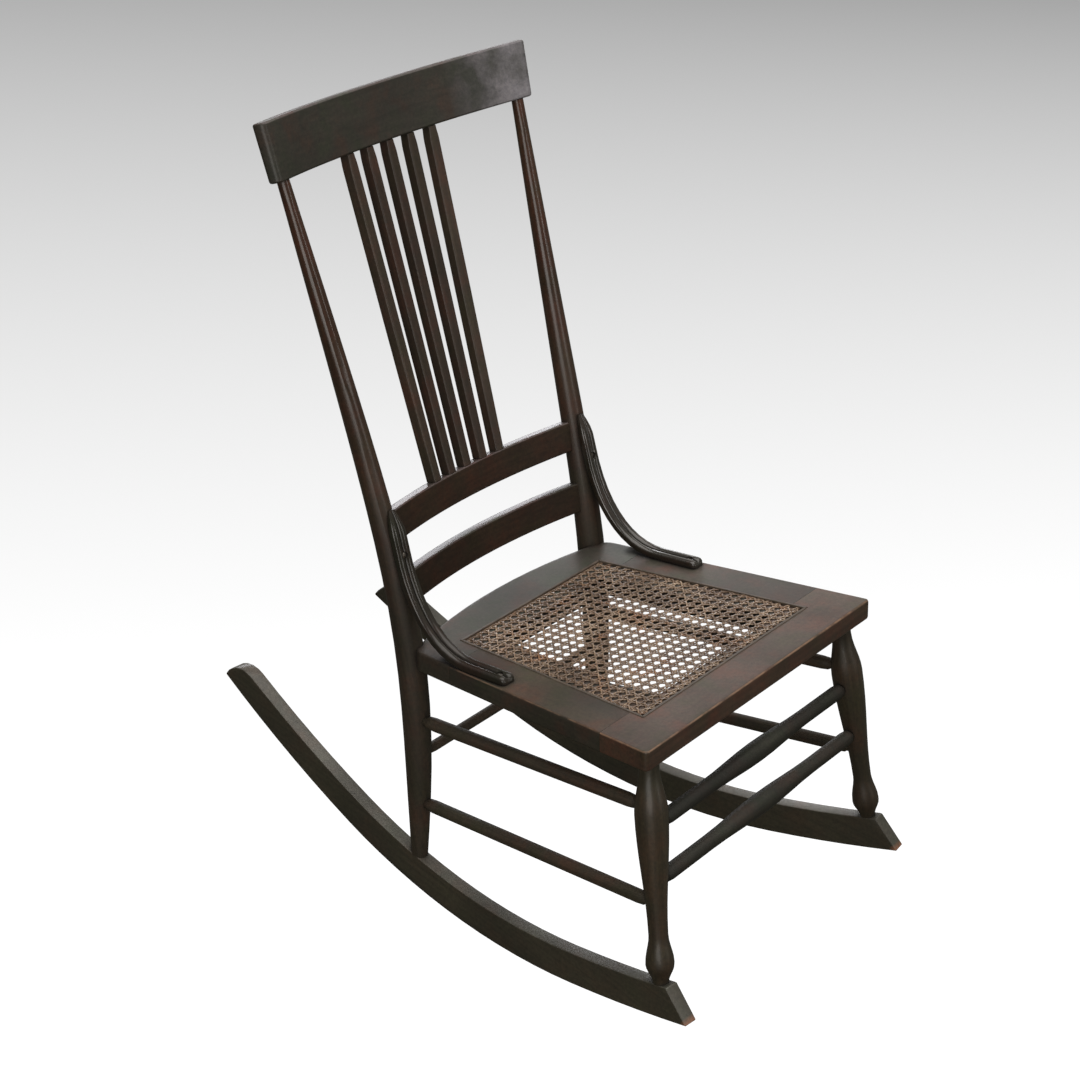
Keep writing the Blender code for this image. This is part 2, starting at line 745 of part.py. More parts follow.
rail_trim = block(
    "trim_rail", (2 * CREST_HALF, CREST_HALF, RAIL_HEIGHT), upper_place @ Matrix.Translation((0, 0, FIT))
)
slats = []
for i in range(SLAT_COUNT):
    step = i - (SLAT_COUNT - 1) / 2
    x_top = step * SLAT_TOP_PITCH
    x_low = step * SLAT_LOW_PITCH
    head = crest_place @ Vector((x_top, arc_y(x_top, CREST_RADIUS), -CREST_HEIGHT / 2))
    foot = upper_place @ Vector((x_low, arc_y(x_low, RAIL_RADIUS), RAIL_HEIGHT / 2))
    way = (head - foot).normalized()
    length = (head - foot).length
    swing = (x_top / CREST_RADIUS + x_low / RAIL_RADIUS) / 2
    width_way = Vector((math.cos(swing), -math.sin(swing), 0))
    width_way = (width_way - way * width_way.dot(way)).normalized()
    depth_way = width_way.cross(way)
    place = frame(foot, width_way, way, depth_way)
    marks = [
        (-SLAT_OVER, SLAT_LOW_WIDTH),
        (length * 0.5, SLAT_MID_WIDTH),
        (length - SLAT_NECK, SLAT_TOP_WIDTH),
        (length, SLAT_NECK_WIDTH),
        (length + SLAT_OVER, SLAT_NECK_WIDTH),
    ]
    counts = [2, 2, 4, 1]
    edge = []
    for (h0, w0), (h1, w1), count in zip(marks, marks[1:], counts):
        for k in range(count):
            t = k / count
            edge.append(((w0 + (w1 - w0) * blend(t)) / 2, h0 + (h1 - h0) * t))
    edge.append((marks[-1][1] / 2, marks[-1][0]))
    outline = edge + [(-w, h) for w, h in reversed(edge)]
    slat = flat(f"back_slat_{i + 1}", [outline], SLAT_THICK, place)
    rounded(slat, SLAT_EDGE, 2, 50)
    boolean(slat, rail_trim)
    boolean(slat, crest_trim)
    slats.append(slat)
    size = (SLAT_TENON_WIDTH, 2 * SLAT_TENON, SLAT_TENON_THICK)
    loose = (SLAT_TENON_WIDTH + 2 * FIT, 2 * (SLAT_TENON + FIT), SLAT_TENON_THICK + 2 * FIT)
    for label, host, spot in (("low", upper_rail, 0.0), ("top", crest, length)):
        seat_of = place @ Matrix.Translation((0, spot, 0))
        boolean(slat, block(f"slat_tenon_{label}_{i + 1}", size, seat_of), "UNION")
        boolean(host, block(f"slat_{label}_{i + 1}", loose, seat_of))


# Front legs

legs = {}
for label, side in SIDES.items():
    foot, head = leg_ends(side)
    way = (head - foot).normalized()
    leg = turned(f"{label}_front_leg", leg_profile(), along(foot, head), LEG_SIDES)
    low = foot - way * FOOT_TENON
    boolean(leg, trims[side])
    boolean(leg, rod(f"leg_tenon_{label}", FOOT_TENON_R, low, foot + way * TENON_ROOT), "UNION")
    hole = rod(f"leg_hole_{label}", FOOT_TENON_R + FIT, low - way * FIT, foot + way * TENON_ROOT)
    boolean(rockers[side], hole)
    legs[side] = leg


# Stretchers

def stretcher(name, start, end, start_r, end_r, profile, sides, hosts):
    """A turned bar between two pieces, with blind sockets in both."""
    way = (end - start).normalized()
    first = start + way * (start_r - STRETCHER_SOCKET)
    last = end - way * (end_r - STRETCHER_SOCKET)
    length = (last - first).length
    clear = STRETCHER_SOCKET + STRETCHER_SHOW
    shape = [(STRETCHER_END_R, length), (STRETCHER_END_R, length - clear)]
    for share, radius in profile:
        run = length - 2 * (clear + STRETCHER_SHOULDER)
        shape.append((radius, length - clear - STRETCHER_SHOULDER - share * run))
    shape += [(STRETCHER_END_R, clear), (STRETCHER_END_R, 0.0)]
    bar = turned(name, shape, along(first, last), sides)
    socket = rod(f"socket_{name}", STRETCHER_END_R + FIT, first - way * FIT, last + way * FIT, sides)
    for host in hosts:
        boolean(host, socket)
    return bar


def plain(radius):
    return [(0.0, radius - STRETCHER_ROUND), (0.03, radius), (0.97, radius), (1.0, radius - STRETCHER_ROUND)]


def swelled():
    marks = [(0.0, FRONT_R - STRETCHER_ROUND), (0.02, FRONT_R)]
    for i in range(9):
        t = i / 8
        radius = FRONT_R + (FRONT_SWELL_R - FRONT_R) * math.sin(math.pi * t) ** 2
        marks.append((0.5 + FRONT_SWELL * (t - 0.5), radius))
    return marks + [(0.98, FRONT_R), (1.0, FRONT_R - STRETCHER_ROUND)]


stretchers = {}
for label, side in SIDES.items():
    for level, post_z, leg_z in (
        ("upper", SIDE_UPPER_POST_Z, SIDE_UPPER_LEG_Z),
        ("lower", SIDE_LOWER_POST_Z, SIDE_LOWER_LEG_Z),
    ):
        name = f"{label}_{level}_side_stretcher"
        stretchers[name] = stretcher(
            name, post_axis(post_z, side), leg_axis(leg_z, side), post_radius(post_z), leg_radius(leg_z),
            plain(SIDE_R), 12, (posts[side], legs[side]),
        )
for level, z in (("upper", FRONT_UPPER_Z), ("lower", FRONT_LOWER_Z)):
    name = f"{level}_front_stretcher"
    stretchers[name] = stretcher(
        name, leg_axis(z, -1), leg_axis(z, 1), leg_radius(z), leg_radius(z), swelled(), 14, (legs[-1], legs[1])
    )
stretchers["rear_stretcher"] = stretcher(
    "rear_stretcher", post_axis(REAR_Z, -1), post_axis(REAR_Z, 1), post_radius(REAR_Z), post_radius(REAR_Z),
    plain(REAR_R), 12, (posts[-1], posts[1]),
)


# Seat frame: one plate shape, kept in four regions

seat_place = Matrix.Translation((0, 0, seat_top(0))) @ Matrix.Rotation(-math.radians(SEAT_PITCH), 4, "X")


def plate_outline():
    rear_corner_y = SEAT_REAR_Y - SEAT_REAR_BOW
    corner = (SEAT_REAR_HALF, rear_corner_y)
    front = (SEAT_FRONT_HALF, SEAT_FRONT_Y)
    bow = []
    for i in range(1, 12):
        x = SEAT_REAR_HALF * (1 - 2 * i / 12)
        bow.append((x, SEAT_REAR_Y - SEAT_REAR_BOW * (x / SEAT_REAR_HALF) ** 2))
    kept = [p for p in bow if abs(p[0]) < SEAT_REAR_HALF - SEAT_REAR_CORNER * 1.1]
    outline = fillet((0, SEAT_FRONT_Y), front, corner, SEAT_FRONT_CORNER, 4)
    outline += fillet(front, corner, bow[0], SEAT_REAR_CORNER, 5)
    outline += kept
    outline += fillet(bow[-1], (-corner[0], corner[1]), (-front[0], front[1]), SEAT_REAR_CORNER, 5)
    outline += fillet((-corner[0], corner[1]), (-front[0], front[1]), (0, SEAT_FRONT_Y), SEAT_FRONT_CORNER, 4)
    return outline


def opening_half(y):
    return OPENING_FRONT_HALF + (OPENING_REAR_HALF - OPENING_FRONT_HALF) * (y - FRONT_JOINT_Y) / (
        REAR_JOINT_Y - FRONT_JOINT_Y
    )


def cane_corners(inset):
    """Corners of the caned area, drawn in by a distance on all sides."""
    slope = (CANE_REAR_HALF - CANE_FRONT_HALF) / (CANE_REAR_Y - CANE_FRONT_Y)
    front = CANE_FRONT_Y + inset
    rear = CANE_REAR_Y - inset
    narrow = inset * math.sqrt(1 + slope * slope)
    front_half = CANE_FRONT_HALF + slope * (front - CANE_FRONT_Y) - narrow
    rear_half = CANE_FRONT_HALF + slope * (rear - CANE_FRONT_Y) - narrow
    return [(-front_half, front), (front_half, front), (rear_half, rear), (-rear_half, rear)]


groove_width = SPLINE_WIDTH + CANE_THICK + 3 * FIT
ledge = CANE_THICK + FIT
groove_depth = ledge + CANE_TONGUE + FIT
over = 0.004
recess_place = seat_place @ Matrix.Translation((0, 0, (over - ledge) / 2))
recess = helper(flat("cane_recess", [cane_corners(0)], over + ledge, recess_place), "cane_recess")
groove_place = seat_place @ Matrix.Translation((0, 0, (over - groove_depth) / 2))
groove = helper(
    flat("spline_groove", [cane_corners(0), cane_corners(groove_width)], over + groove_depth, groove_place),
    "spline_groove",
)

reach = 2 * SEAT_FRONT_HALF
front_y = FRONT_JOINT_Y - FIT / 2
rear_y = REAR_JOINT_Y + FIT / 2
regions = {
    "seat_front_rail": [(-reach, front_y), (-reach, -reach), (reach, -reach), (reach, front_y)],
    "seat_back_rail": [(-reach, rear_y), (reach, rear_y), (reach, reach), (-reach, reach)],
}
for label, side in SIDES.items():
    regions[f"seat_{label}_rail"] = [
        (side * OPENING_FRONT_HALF, FRONT_JOINT_Y + FIT / 2),
        (side * reach, FRONT_JOINT_Y + FIT / 2),
        (side * reach, REAR_JOINT_Y - FIT / 2),
        (side * OPENING_REAR_HALF, REAR_JOINT_Y - FIT / 2),
    ]
middle_place = seat_place @ Matrix.Translation((0, 0, -SEAT_THICK / 2))
boards = {}
for name, region in regions.items():
    board = rounded(flat(name, [plate_outline()], SEAT_THICK, middle_place), SEAT_EDGE, 2)
    kept = helper(flat(f"region_{name}", [region], SEAT_THICK * 2, middle_place), f"region_{name}")
    boolean(board, kept, "INTERSECT")
    boolean(board, recess)
    boolean(board, groove)
    boards[name] = board

# Tongues of the side boards in the front and back boards
for label, side in SIDES.items():
    for host, y, way in (("seat_front_rail", FRONT_JOINT_Y, -1), ("seat_back_rail", REAR_JOINT_Y, 1)):
        inner = opening_half(y)
        outer = seat_half(y)
        middle_x = side * (inner + outer) / 2
        width = (outer - inner) * FRAME_TONGUE_SHARE
        drop = -SEAT_THICK * FRAME_TONGUE_AT
        size = (width, FRAME_TONGUE + TENON_ROOT, FRAME_TONGUE_THICK)
        middle_y = y + way * (FRAME_TONGUE - TENON_ROOT) / 2
        place = seat_place @ Matrix.Translation((middle_x, middle_y, drop))
        boolean(boards[f"seat_{label}_rail"], block(f"tongue_{label}_{host}", size, place), "UNION")
        loose = (width + 2 * FIT, FRAME_TONGUE + TENON_ROOT + 2 * FIT, FRAME_TONGUE_THICK + 2 * FIT)
        boolean(boards[host], block(f"mortise_{label}_{host}", loose, place))

for label, side in SIDES.items():
    foot, head = leg_ends(side)
    way = (head - foot).normalized()
    bore_r = LEG_TOP_R + LEG_TOP_FLARE + FIT
    bore = rod(f"leg_bore_{label}", bore_r, head - way * TENON_ROOT, head + way * (LEG_SOCKET + FIT), LEG_SIDES)
    boolean(boards["seat_front_rail"], bore)
    boolean(boards["seat_back_rail"], post_envelopes[side])


# Cane panel with a turned-down rim

cane_inset = SPLINE_WIDTH + 2 * FIT
corners = cane_corners(cane_inset)
mesh = bpy.data.meshes.new("cane_panel")
work = bmesh.new()
bmesh.ops.create_grid(work, x_segments=CANE_CELLS, y_segments=CANE_CELLS, size=1.0)
for vert in work.verts:
    share = (vert.co.y + 1) / 2
    half = corners[1][0] + (corners[2][0] - corners[1][0]) * share
    vert.co = (vert.co.x * half, corners[1][1] + (corners[2][1] - corners[1][1]) * share, 0)
cells = list(work.faces)
bmesh.ops.inset_individual(work, faces=cells, thickness=CANE_STRAND / 2, use_even_offset=True)
border = [edge for edge in work.edges if edge.is_boundary]
rim = bmesh.ops.extrude_edge_only(work, edges=border)
for item in rim["geom"]:
    if isinstance(item, bmesh.types.BMVert):
        item.co.z -= CANE_TONGUE + CANE_THICK
bmesh.ops.delete(work, geom=cells, context="FACES")
bmesh.ops.recalc_face_normals(work, faces=work.faces)
top_faces = [face for face in work.faces if abs(face.normal.z) > 0.9]
if top_faces[0].normal.z < 0:
    bmesh.ops.reverse_faces(work, faces=work.faces)
work.to_mesh(mesh)
work.free()
cane = fresh("cane_panel", mesh, seat_place)
thickness = cane.modifiers.new("thickness", "SOLIDIFY")
thickness.thickness = CANE_THICK
thickness.offset = -1
thickness.use_even_offset = True


# Spline strips, mitred at the corners

outer_ring = cane_corners(FIT)
inner_ring = cane_corners(FIT + SPLINE_WIDTH)
spline_height = groove_depth - FIT + SPLINE_RISE
spline_place = seat_place @ Matrix.Translation((0, 0, SPLINE_RISE - spline_height / 2))
splines = {}
for i, name in enumerate(("front", "left", "back", "right")):
    j = (i + 1) % 4
    first = Vector(outer_ring[i])
    last = Vector(outer_ring[j])
    draw = (last - first).normalized() * FIT
    strip = [first + draw, last - draw, Vector(inner_ring[j]) - draw, Vector(inner_ring[i]) + draw]
    strip = [tuple(p) for p in strip]
    splines[name] = rounded(flat(f"cane_spline_{name}", [strip], spline_height, spline_place), SPLINE_EDGE, 1, 60)


# Seat braces

def brace_offset(z):
    """Middle line of a brace where it lies on the front of a post, in the side view."""
    way = post_way(z)
    side_way = Vector((way.y, way.z)).normalized()
    out = Vector((-side_way.y, side_way.x))
    axis = post_axis(z)
    return Vector((axis.y, axis.z)) + out * (post_radius(z) + FIT - BRACE_SINK + BRACE_THICK / 2), -side_way


def brace_line():
    """Points and directions of the middle line, from the top down to the front."""
    found = []
    for i in range(5):
        found.append(brace_offset(BRACE_TOP_Z + (BRACE_LEAVE_Z - BRACE_TOP_Z) * i / 5))
    start, way = brace_offset(BRACE_LEAVE_Z)
    pitch = math.tan(math.radians(SEAT_PITCH))
    lying = Vector((-1, pitch)).normalized()
    end = Vector((BRACE_LAND_Y, seat_top(BRACE_LAND_Y) + FIT + BRACE_THICK / 2))
    one = start + way * BRACE_UPPER_PULL
    two = end - lying * BRACE_LOWER_PULL
    for i in range(12):
        t = i / 11
        u = 1 - t
        point = start * u ** 3 + one * 3 * u * u * t + two * 3 * u * t * t + end * t ** 3
        slope = (one - start) * u * u + (two - one) * 2 * u * t + (end - two) * t * t
        found.append((point, slope.normalized()))
    for i in range(1, 4):
        y = BRACE_LAND_Y + (BRACE_FRONT_Y - BRACE_LAND_Y) * i / 3
        found.append((Vector((y, seat_top(y) + FIT + BRACE_THICK / 2)), lying))
    return found


def brace_section():
    """Outline across a brace as (side, height) pairs: two beads on the face and a flat back."""
    half = BRACE_WIDTH / 2
    bead = (half - BRACE_GROOVE / 2) / 2
    shoulder = BRACE_THICK / 2 - BRACE_BEAD
    face = []
    for i in range(6):
        turn = math.radians(180 * i / 5)
        face.append((half - bead + bead * math.cos(turn), shoulder + BRACE_BEAD * math.sin(turn)))
    back = [(-half, BRACE_EDGE - BRACE_THICK / 2), (BRACE_EDGE - half, -BRACE_THICK / 2)]
    other = [(-side, height) for side, height in reversed(face)]
    return face + other + back + [(-side, height) for side, height in reversed(back)]


def brace_rings(line):
    """Outlines along a brace: thin and narrow at the top, each bead rounded at the front."""
    section = brace_section()
    base = -BRACE_THICK / 2
    middle = BRACE_WIDTH / 4
    rings = []
    run = 0.0
    last = line[0][0]
    for point, way in line:
        run += (point - last).length
        last = point
        grown = math.sin(math.pi / 2 * min(run / BRACE_SCARF, 1.0))
        thick = BRACE_TOP_THICK + (1 - BRACE_TOP_THICK) * grown
        wide = BRACE_TOP_WIDTH + (1 - BRACE_TOP_WIDTH) * grown
        out = Vector((way.y, -way.x))
        ring = []
        for side, height in section:
            spot = point + out * (base + (height - base) * thick)
            ring.append((spot.x, spot.y, side * wide))
        rings.append(ring)
    point, way = line[-1]
    out = Vector((way.y, -way.x))
    for angle in (28, 52, 74):
        turn = math.radians(angle)
        ring = []
        for side, height in section:
            centre = math.copysign(middle, side)
            spot = point + way * BRACE_NOSE * math.sin(turn)
            spot = spot + out * (base + (height - base) * math.cos(turn) ** 0.6)
            ring.append((spot.x, spot.y, centre + (side - centre) * math.cos(turn) ** 0.8))
        rings.append(ring)
    return rings


braces = {}
screws = {}
line = brace_line()
contact, _ = brace_offset(BRACE_SCREW_Z)
for label, side in SIDES.items():
    rear_x = post_axis(BRACE_LEAVE_Z).x
    front_x = seat_half(BRACE_FRONT_Y) - BRACE_INSET
    rise = (rear_x - front_x) / (contact.x - BRACE_FRONT_Y)
    ahead = Vector((side * rise, 1, 0)).normalized()
    across = ahead.cross(Vector((0, 0, 1)))
    spot = Vector((side * rear_x, contact.x, 0)) - ahead * contact.x
    place = frame(spot, ahead, Vector((0, 0, 1)), across)
    brace = lofted(f"{label}_brace", brace_rings(line), place)
    boolean(brace, post_envelopes[side])
    braces[side] = brace

    # Screws through the brace, one into the post and one into the side board
    low_point = Vector((BRACE_SCREW_Y, seat_top(BRACE_SCREW_Y) + FIT + BRACE_THICK / 2))
    lying = Vector((-1, math.tan(math.radians(SEAT_PITCH)))).normalized()
    post_point, post_down = brace_offset(BRACE_SCREW_Z)
    for spot_name, point, way, host in (
        ("upper", post_point, post_down, posts[side]),
        ("lower", low_point, lying, boards[f"seat_{label}_rail"]),
    ):
        out = Vector((way.y, -way.x))
        head = point + out * (BRACE_THICK / 2 - BRACE_BEAD + SCREW_HEAD / 2)
        tip = head - out * BRACE_SCREW
        start = place @ Vector((tip.x, tip.y, 0))
        end = place @ Vector((head.x, head.y, 0))
        name = f"{label}_brace_screw_{spot_name}"
        screws[name] = turned(name, screw_shape(BRACE_SCREW), along(start, end), 10)
        hole = screw_shape(BRACE_SCREW, FIT, SCREW_CLEAR)
        bore = helper(turned(f"bore_{name}", hole, along(start, end), 11), f"bore_{name}")
        boolean(brace, bore)
        boolean(host, bore)

    # Screw through the post into the corner of the back board
    z = seat_top(SEAT_REAR_Y) - SEAT_THICK * SEAT_SCREW_AT
    axis = post_axis(z, side)
    corner_y = SEAT_REAR_Y - SEAT_REAR_BOW
    inside = Vector((side * (SEAT_REAR_HALF - SEAT_REAR_CORNER), corner_y - SEAT_REAR_CORNER, z))
    way = (inside - axis).normalized()
    end = axis - way * (post_radius(z) - SCREW_SINK)
    start = end + way * SEAT_SCREW
    name = f"{label}_seat_screw"
    screws[name] = turned(name, screw_shape(SEAT_SCREW), along(start, end), 10)
    hole = screw_shape(SEAT_SCREW, FIT, SCREW_CLEAR)
    bore = helper(turned(f"bore_{name}", hole, along(start, end), 11), f"bore_{name}")
    boolean(posts[side], bore)
    boolean(boards["seat_back_rail"], bore)


# Naming, materials and one parent at the middle of the floor area

for label, side in SIDES.items():
    smooth(node(posts[side], f"{label}_rear_post", TURNED_WOOD))
    node(legs[side], f"{label}_front_leg", TURNED_WOOD)
    smooth(node(rockers[side], f"{label}_rocker", STAINED_WOOD), 20)
    smooth(node(braces[side], f"{label}_brace", BRACE_WOOD))
smooth(node(crest, "crest_rail", STAINED_WOOD))
smooth(node(upper_rail, "upper_back_rail", STAINED_WOOD))
smooth(node(lower_rail, "lower_back_rail", STAINED_WOOD))
for i, slat in enumerate(slats):
    smooth(node(slat, f"back_slat_{i + 1}", TURNED_WOOD))
for name, board in boards.items():
    smooth(node(board, name, STAINED_WOOD))
for name, strip in splines.items():
    node(strip, f"cane_spline_{name}", SPLINE_WOOD)
node(cane, "cane_panel", CANE)
for name, bar in stretchers.items():
    node(bar, name, TURNED_WOOD)
for name, screw in screws.items():
    node(screw, name, STEEL)

root = bpy.data.objects.new("rocking_chair_root", None)
chair.objects.link(root)
for obj in list(chair.objects) + list(helpers.objects):
    if obj is not root:
        obj.parent = root
root.rotation_euler = (-math.radians(REST_LEAN), 0, 0)
bpy.context.view_layer.update()
graph = bpy.context.evaluated_depsgraph_get()
spots = []
for obj in chair.objects:
    if obj is not root:
        shown = obj.evaluated_get(graph)
        spots += [shown.matrix_world @ vert.co for vert in shown.data.vertices]
nearest = min(spot.y for spot in spots)
farthest = max(spot.y for spot in spots)
root.location = (0, -(nearest + farthest) / 2, -min(spot.z for spot in spots))
bpy.context.view_layer.update()
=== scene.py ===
import math
import random
from fnmatch import fnmatchcase

import bmesh
import bpy
import numpy as np
from mathutils import Matrix, Vector


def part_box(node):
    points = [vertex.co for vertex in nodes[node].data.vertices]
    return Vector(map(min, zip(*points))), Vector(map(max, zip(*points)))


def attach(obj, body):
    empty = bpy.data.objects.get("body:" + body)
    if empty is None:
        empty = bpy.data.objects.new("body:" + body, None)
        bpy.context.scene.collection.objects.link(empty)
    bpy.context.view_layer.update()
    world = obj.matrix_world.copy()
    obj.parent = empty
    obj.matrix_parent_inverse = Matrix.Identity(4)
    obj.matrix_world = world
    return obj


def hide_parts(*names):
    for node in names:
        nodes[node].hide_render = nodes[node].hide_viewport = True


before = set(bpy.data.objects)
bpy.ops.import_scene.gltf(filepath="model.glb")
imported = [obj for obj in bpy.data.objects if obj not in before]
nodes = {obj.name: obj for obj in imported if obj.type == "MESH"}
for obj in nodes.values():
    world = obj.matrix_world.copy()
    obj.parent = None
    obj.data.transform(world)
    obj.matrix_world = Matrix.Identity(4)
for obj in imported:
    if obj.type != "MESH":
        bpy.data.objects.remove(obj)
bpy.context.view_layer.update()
scene = bpy.context.scene

# The chair leans back at rest. Its own upright frame is the one in which the picture was taken
REST_LEAN = math.radians(12.3)
SEAT_LEAN = REST_LEAN + math.radians(2.4)
SEAT_UP = Vector((0, math.sin(SEAT_LEAN), math.cos(SEAT_LEAN)))  # square to the seat
CHAIR_PLACE = Vector((0, -0.1567, 0.0158))
chair = Matrix.Translation(CHAIR_PLACE) @ Matrix.Rotation(-REST_LEAN, 4, "X")
seat = Matrix.Translation(CHAIR_PLACE) @ Matrix.Rotation(-SEAT_LEAN, 4, "X")

# Camera in the chair's own frame
CAMERA_PLACE = Vector((-2.0676, -1.4476, 1.6620))
CAMERA_AZIMUTH = math.radians(-52.770)
CAMERA_ELEVATION = math.radians(25.767)
CAMERA_ROLL = math.radians(0.659)
CAMERA_LENS = 84.148
SENSOR = 36.0

# Smooth pieces
SHARP = math.radians(50)
MERGE_REACH = 1e-6
ALONG = "along"  # mesh attribute with each point's place in its own piece

# Cane weave
WEAVE_PITCH = Vector((0.01352, 0.01170))
WEAVE_START = Vector((0.0060, 0.0073))  # middle of one octagon, from the middle of the caned area
WEAVE_REACH = 16  # cells to each side, more than the seat holds
WEAVE_SEED = 11
CANE_WIDTH = 0.00205
CANE_WIDTH_RANGE = (0.92, 1.08)
DIAGONAL_WIDTH = 0.0021
CANE_THICK = 0.0007
CANE_SECTION = ((-0.5, -0.4), (-0.27, 0.5), (0.27, 0.5), (0.5, -0.4))  # shares of width and thickness
PAIR_GAP = 0.0005
PLAIN_WAVE = 0.00040  # rise of the straight strands where they cross
DIAGONAL_WAVE = 0.00075  # rise of the slanting strands over and under the pairs
DIAGONAL_MARKS = 4  # points to each cell of a slanting strand
CANE_STRAY = 0.00018  # how far a strand strays from its line
CANE_TUCK = 0.0022  # how far the ends turn down beside the spline
TUCK_RUN = 0.0006  # length of the turned-down end
TUCK_CLEAR = 0.0012  # no other point of a strand lies nearer to its end
STRAND = "strand"  # mesh attribute with the shade of each strand
CORNER_BAND = 0.001  # points this near to the front or rear edge count as on it
PARALLEL = 1e-12  # a line that nears a wall more slowly runs along it
SHORTEST_SHARE = 1e-4  # a smaller part of a line gets no strand

# Floor and light
FLOOR_REACH = 60.0
FLOOR_WAY = Vector((0.5325, 0.8464, 0.0))  # the way in which the backdrop darkens
FLOOR_NEAR = 1.1144  # brightness below the middle of the chair
FLOOR_FALL = 0.2734  # loss of brightness for each metre
FLOOR_FAR = 2.8  # where it stops falling
LAMP_TONE = (1.0, 0.965, 0.915)
COOL_TONE = (0.95, 0.95, 1.0)
SKY_TONES = [(0.0, (0.07, 0.07, 0.055)), (0.5, (0.17, 0.168, 0.145)), (1.0, (0.52, 0.51, 0.49))]


# Node helpers

OPEN_RAYS = 6


def material(name):
    """A new material, its node tree and its main shader."""
    made = bpy.data.materials.new(name)
    made.use_nodes = True
    tree = made.node_tree
    return made, tree, tree.nodes["Principled BSDF"]


def put(tree, kind, inputs=None, **settings):
    """Adds a node. An input is a socket to link or a value to set."""
    made = tree.nodes.new(kind)
    for key, value in settings.items():
        setattr(made, key, value)
    for key, value in (inputs or {}).items():
        if isinstance(value, bpy.types.NodeSocket):
            tree.links.new(value, made.inputs[key])
        else:
            made.inputs[key].default_value = value
    return made


def noise(tree, vector, scale, detail, rough, distortion=0.0):
    """Fractal noise from 0 to 1."""
    inputs = {"Vector": vector, "Scale": scale, "Detail": detail, "Roughness": rough}
    inputs["Distortion"] = distortion
    return put(tree, "ShaderNodeTexNoise", inputs).outputs["Fac"]


def ramp(tree, value, stops):
    """Colour ramp with (place, colour) stops."""
    made = put(tree, "ShaderNodeValToRGB", {"Fac": value})
    band = made.color_ramp
    while len(band.elements) < len(stops):
        band.elements.new(0.5)
    for element, (place, colour) in zip(band.elements, stops):
        element.position = place
        element.color = (*colour, 1.0)
    return made.outputs["Color"]


def spread(tree, value, low, high, to_low=0.0, to_high=1.0):
    """Maps one range of a value to another, clamped."""
    inputs = {"Value": value, "From Min": low, "From Max": high, "To Min": to_low, "To Max": to_high}
    return put(tree, "ShaderNodeMapRange", inputs).outputs["Result"]


def times(tree, one, two):
    """Product of two numbers."""
    return put(tree, "ShaderNodeMath", {0: one, 1: two}, operation="MULTIPLY").outputs["Value"]


def vectors(tree, operation, *parts):
    """Vector arithmetic. A dot product and a length give a number, the rest a vector."""
    made = put(tree, "ShaderNodeVectorMath", dict(enumerate(parts)), operation=operation)
    return made.outputs["Value" if operation in ("DOT_PRODUCT", "LENGTH") else "Vector"]


def blend(tree, share, first, second, mode="MIX"):
    """Mixes two colours."""
    made = put(tree, "ShaderNodeMix", data_type="RGBA", blend_type=mode)
    for key, value in ((0, share), (6, first), (7, second)):
        if isinstance(value, bpy.types.NodeSocket):
            tree.links.new(value, made.inputs[key])
        elif key:
            made.inputs[key].default_value = (*value, 1.0)
        else:
            made.inputs[key].default_value = value
    return made.outputs[2]


def tinted(tree, base, value, stops, share=1.0):
    """Multiplies a colour by a ramp."""
    return blend(tree, share, base, ramp(tree, value, stops), "MULTIPLY")


def own_place(tree):
    """Where a point lies in its piece, with Z along the piece."""
    return put(tree, "ShaderNodeAttribute", attribute_name=ALONG).outputs["Vector"]


def openness(tree, reach):
    """How open a spot is, from 0 deep in a corner to 1 on a free face."""
    made = put(tree, "ShaderNodeAmbientOcclusion", {"Distance": reach}, samples=OPEN_RAYS)
    return made.outputs["AO"]


# Wood

GRAIN_STRETCH = (240.0, 240.0, 8.0)  # fine across a piece, long along it
GRAIN_STOPS = (0.25, 0.78)
BLOTCH_SCALE = 24.0
BLOTCH_TINTS = [(0.34, (0.84, 1.00, 0.84)), (0.50, (1.0, 1.0, 1.0)), (0.66, (1.30, 0.94, 0.88))]
CLOUD_SCALE = 8.0
CLOUD_SHADES = [(0.3, (0.78, 0.78, 0.80)), (0.7, (1.20, 1.19, 1.17))]
MOTTLE_SCALE = 240.0
MOTTLE_SHADES = [(0.3, (0.66, 0.66, 0.68)), (0.7, (1.34, 1.33, 1.30))]
TOP_FACING = (0.5, 0.85)  # how far up a face looks, from a side face to a top face
COAT_ROUGH = 0.14
PORE_DEPTH = 0.0003
UNEVEN = 0.25  # gentle waves of a surface finished by hand
UNEVEN_DEPTH = 0.0005

# Dust and painted sheen on top faces: a pale film that lightens faces which look up
FILM_FACING = (0.55, 0.95)
FILM_CLOUD = (0.32, 0.68)
FILM_THINNEST = 0.45  # share of the film that is left where it is thin
BROWN_DUST_AND_SHEEN = (0.086, 0.058, 0.039)
PURPLE_DUST_AND_SHEEN = (0.112, 0.088, 0.077)
GREEN_DUST_AND_SHEEN = (0.110, 0.105, 0.092)
PALE_DUST_AND_SHEEN = (0.150, 0.125, 0.130)

# Painted shade and dullness in corners and under the cane, where little is open around a spot
CREASE = 0.014
CREASE_SHADE_TONE = (0.006, 0.0045, 0.003)
CREASE_SHADE_SHARE = 0.90
OPEN_FROM = 0.80  # openness from which a spot counts as free
UNDER_CANE = 0.92  # the same for the seat boards, which count as sheltered sooner, so that the painted shade reaches under the cane
CREASE_SHADE_FADE = 0.50  # loss of openness from there until the painted shade in a corner is full
GLOSS_FADE = 0.47  # until it has no gloss
FILM_FADE = 0.37  # until no dust or painted sheen lies in it, which keeps the painted shade there dark

# Wear along the rounded edges of the seat
WORN_TONE = (0.210, 0.125, 0.078)
EDGE_TOP = (0.96, 0.84)  # how level a face is, from the flat of the seat to its rounded edge
EDGE_SIDE = (0.30, 0.65)  # and from the side of the board to that edge
SCUFF_SCALE = 50.0
SCUFF_PATCH = (0.34, 0.58)

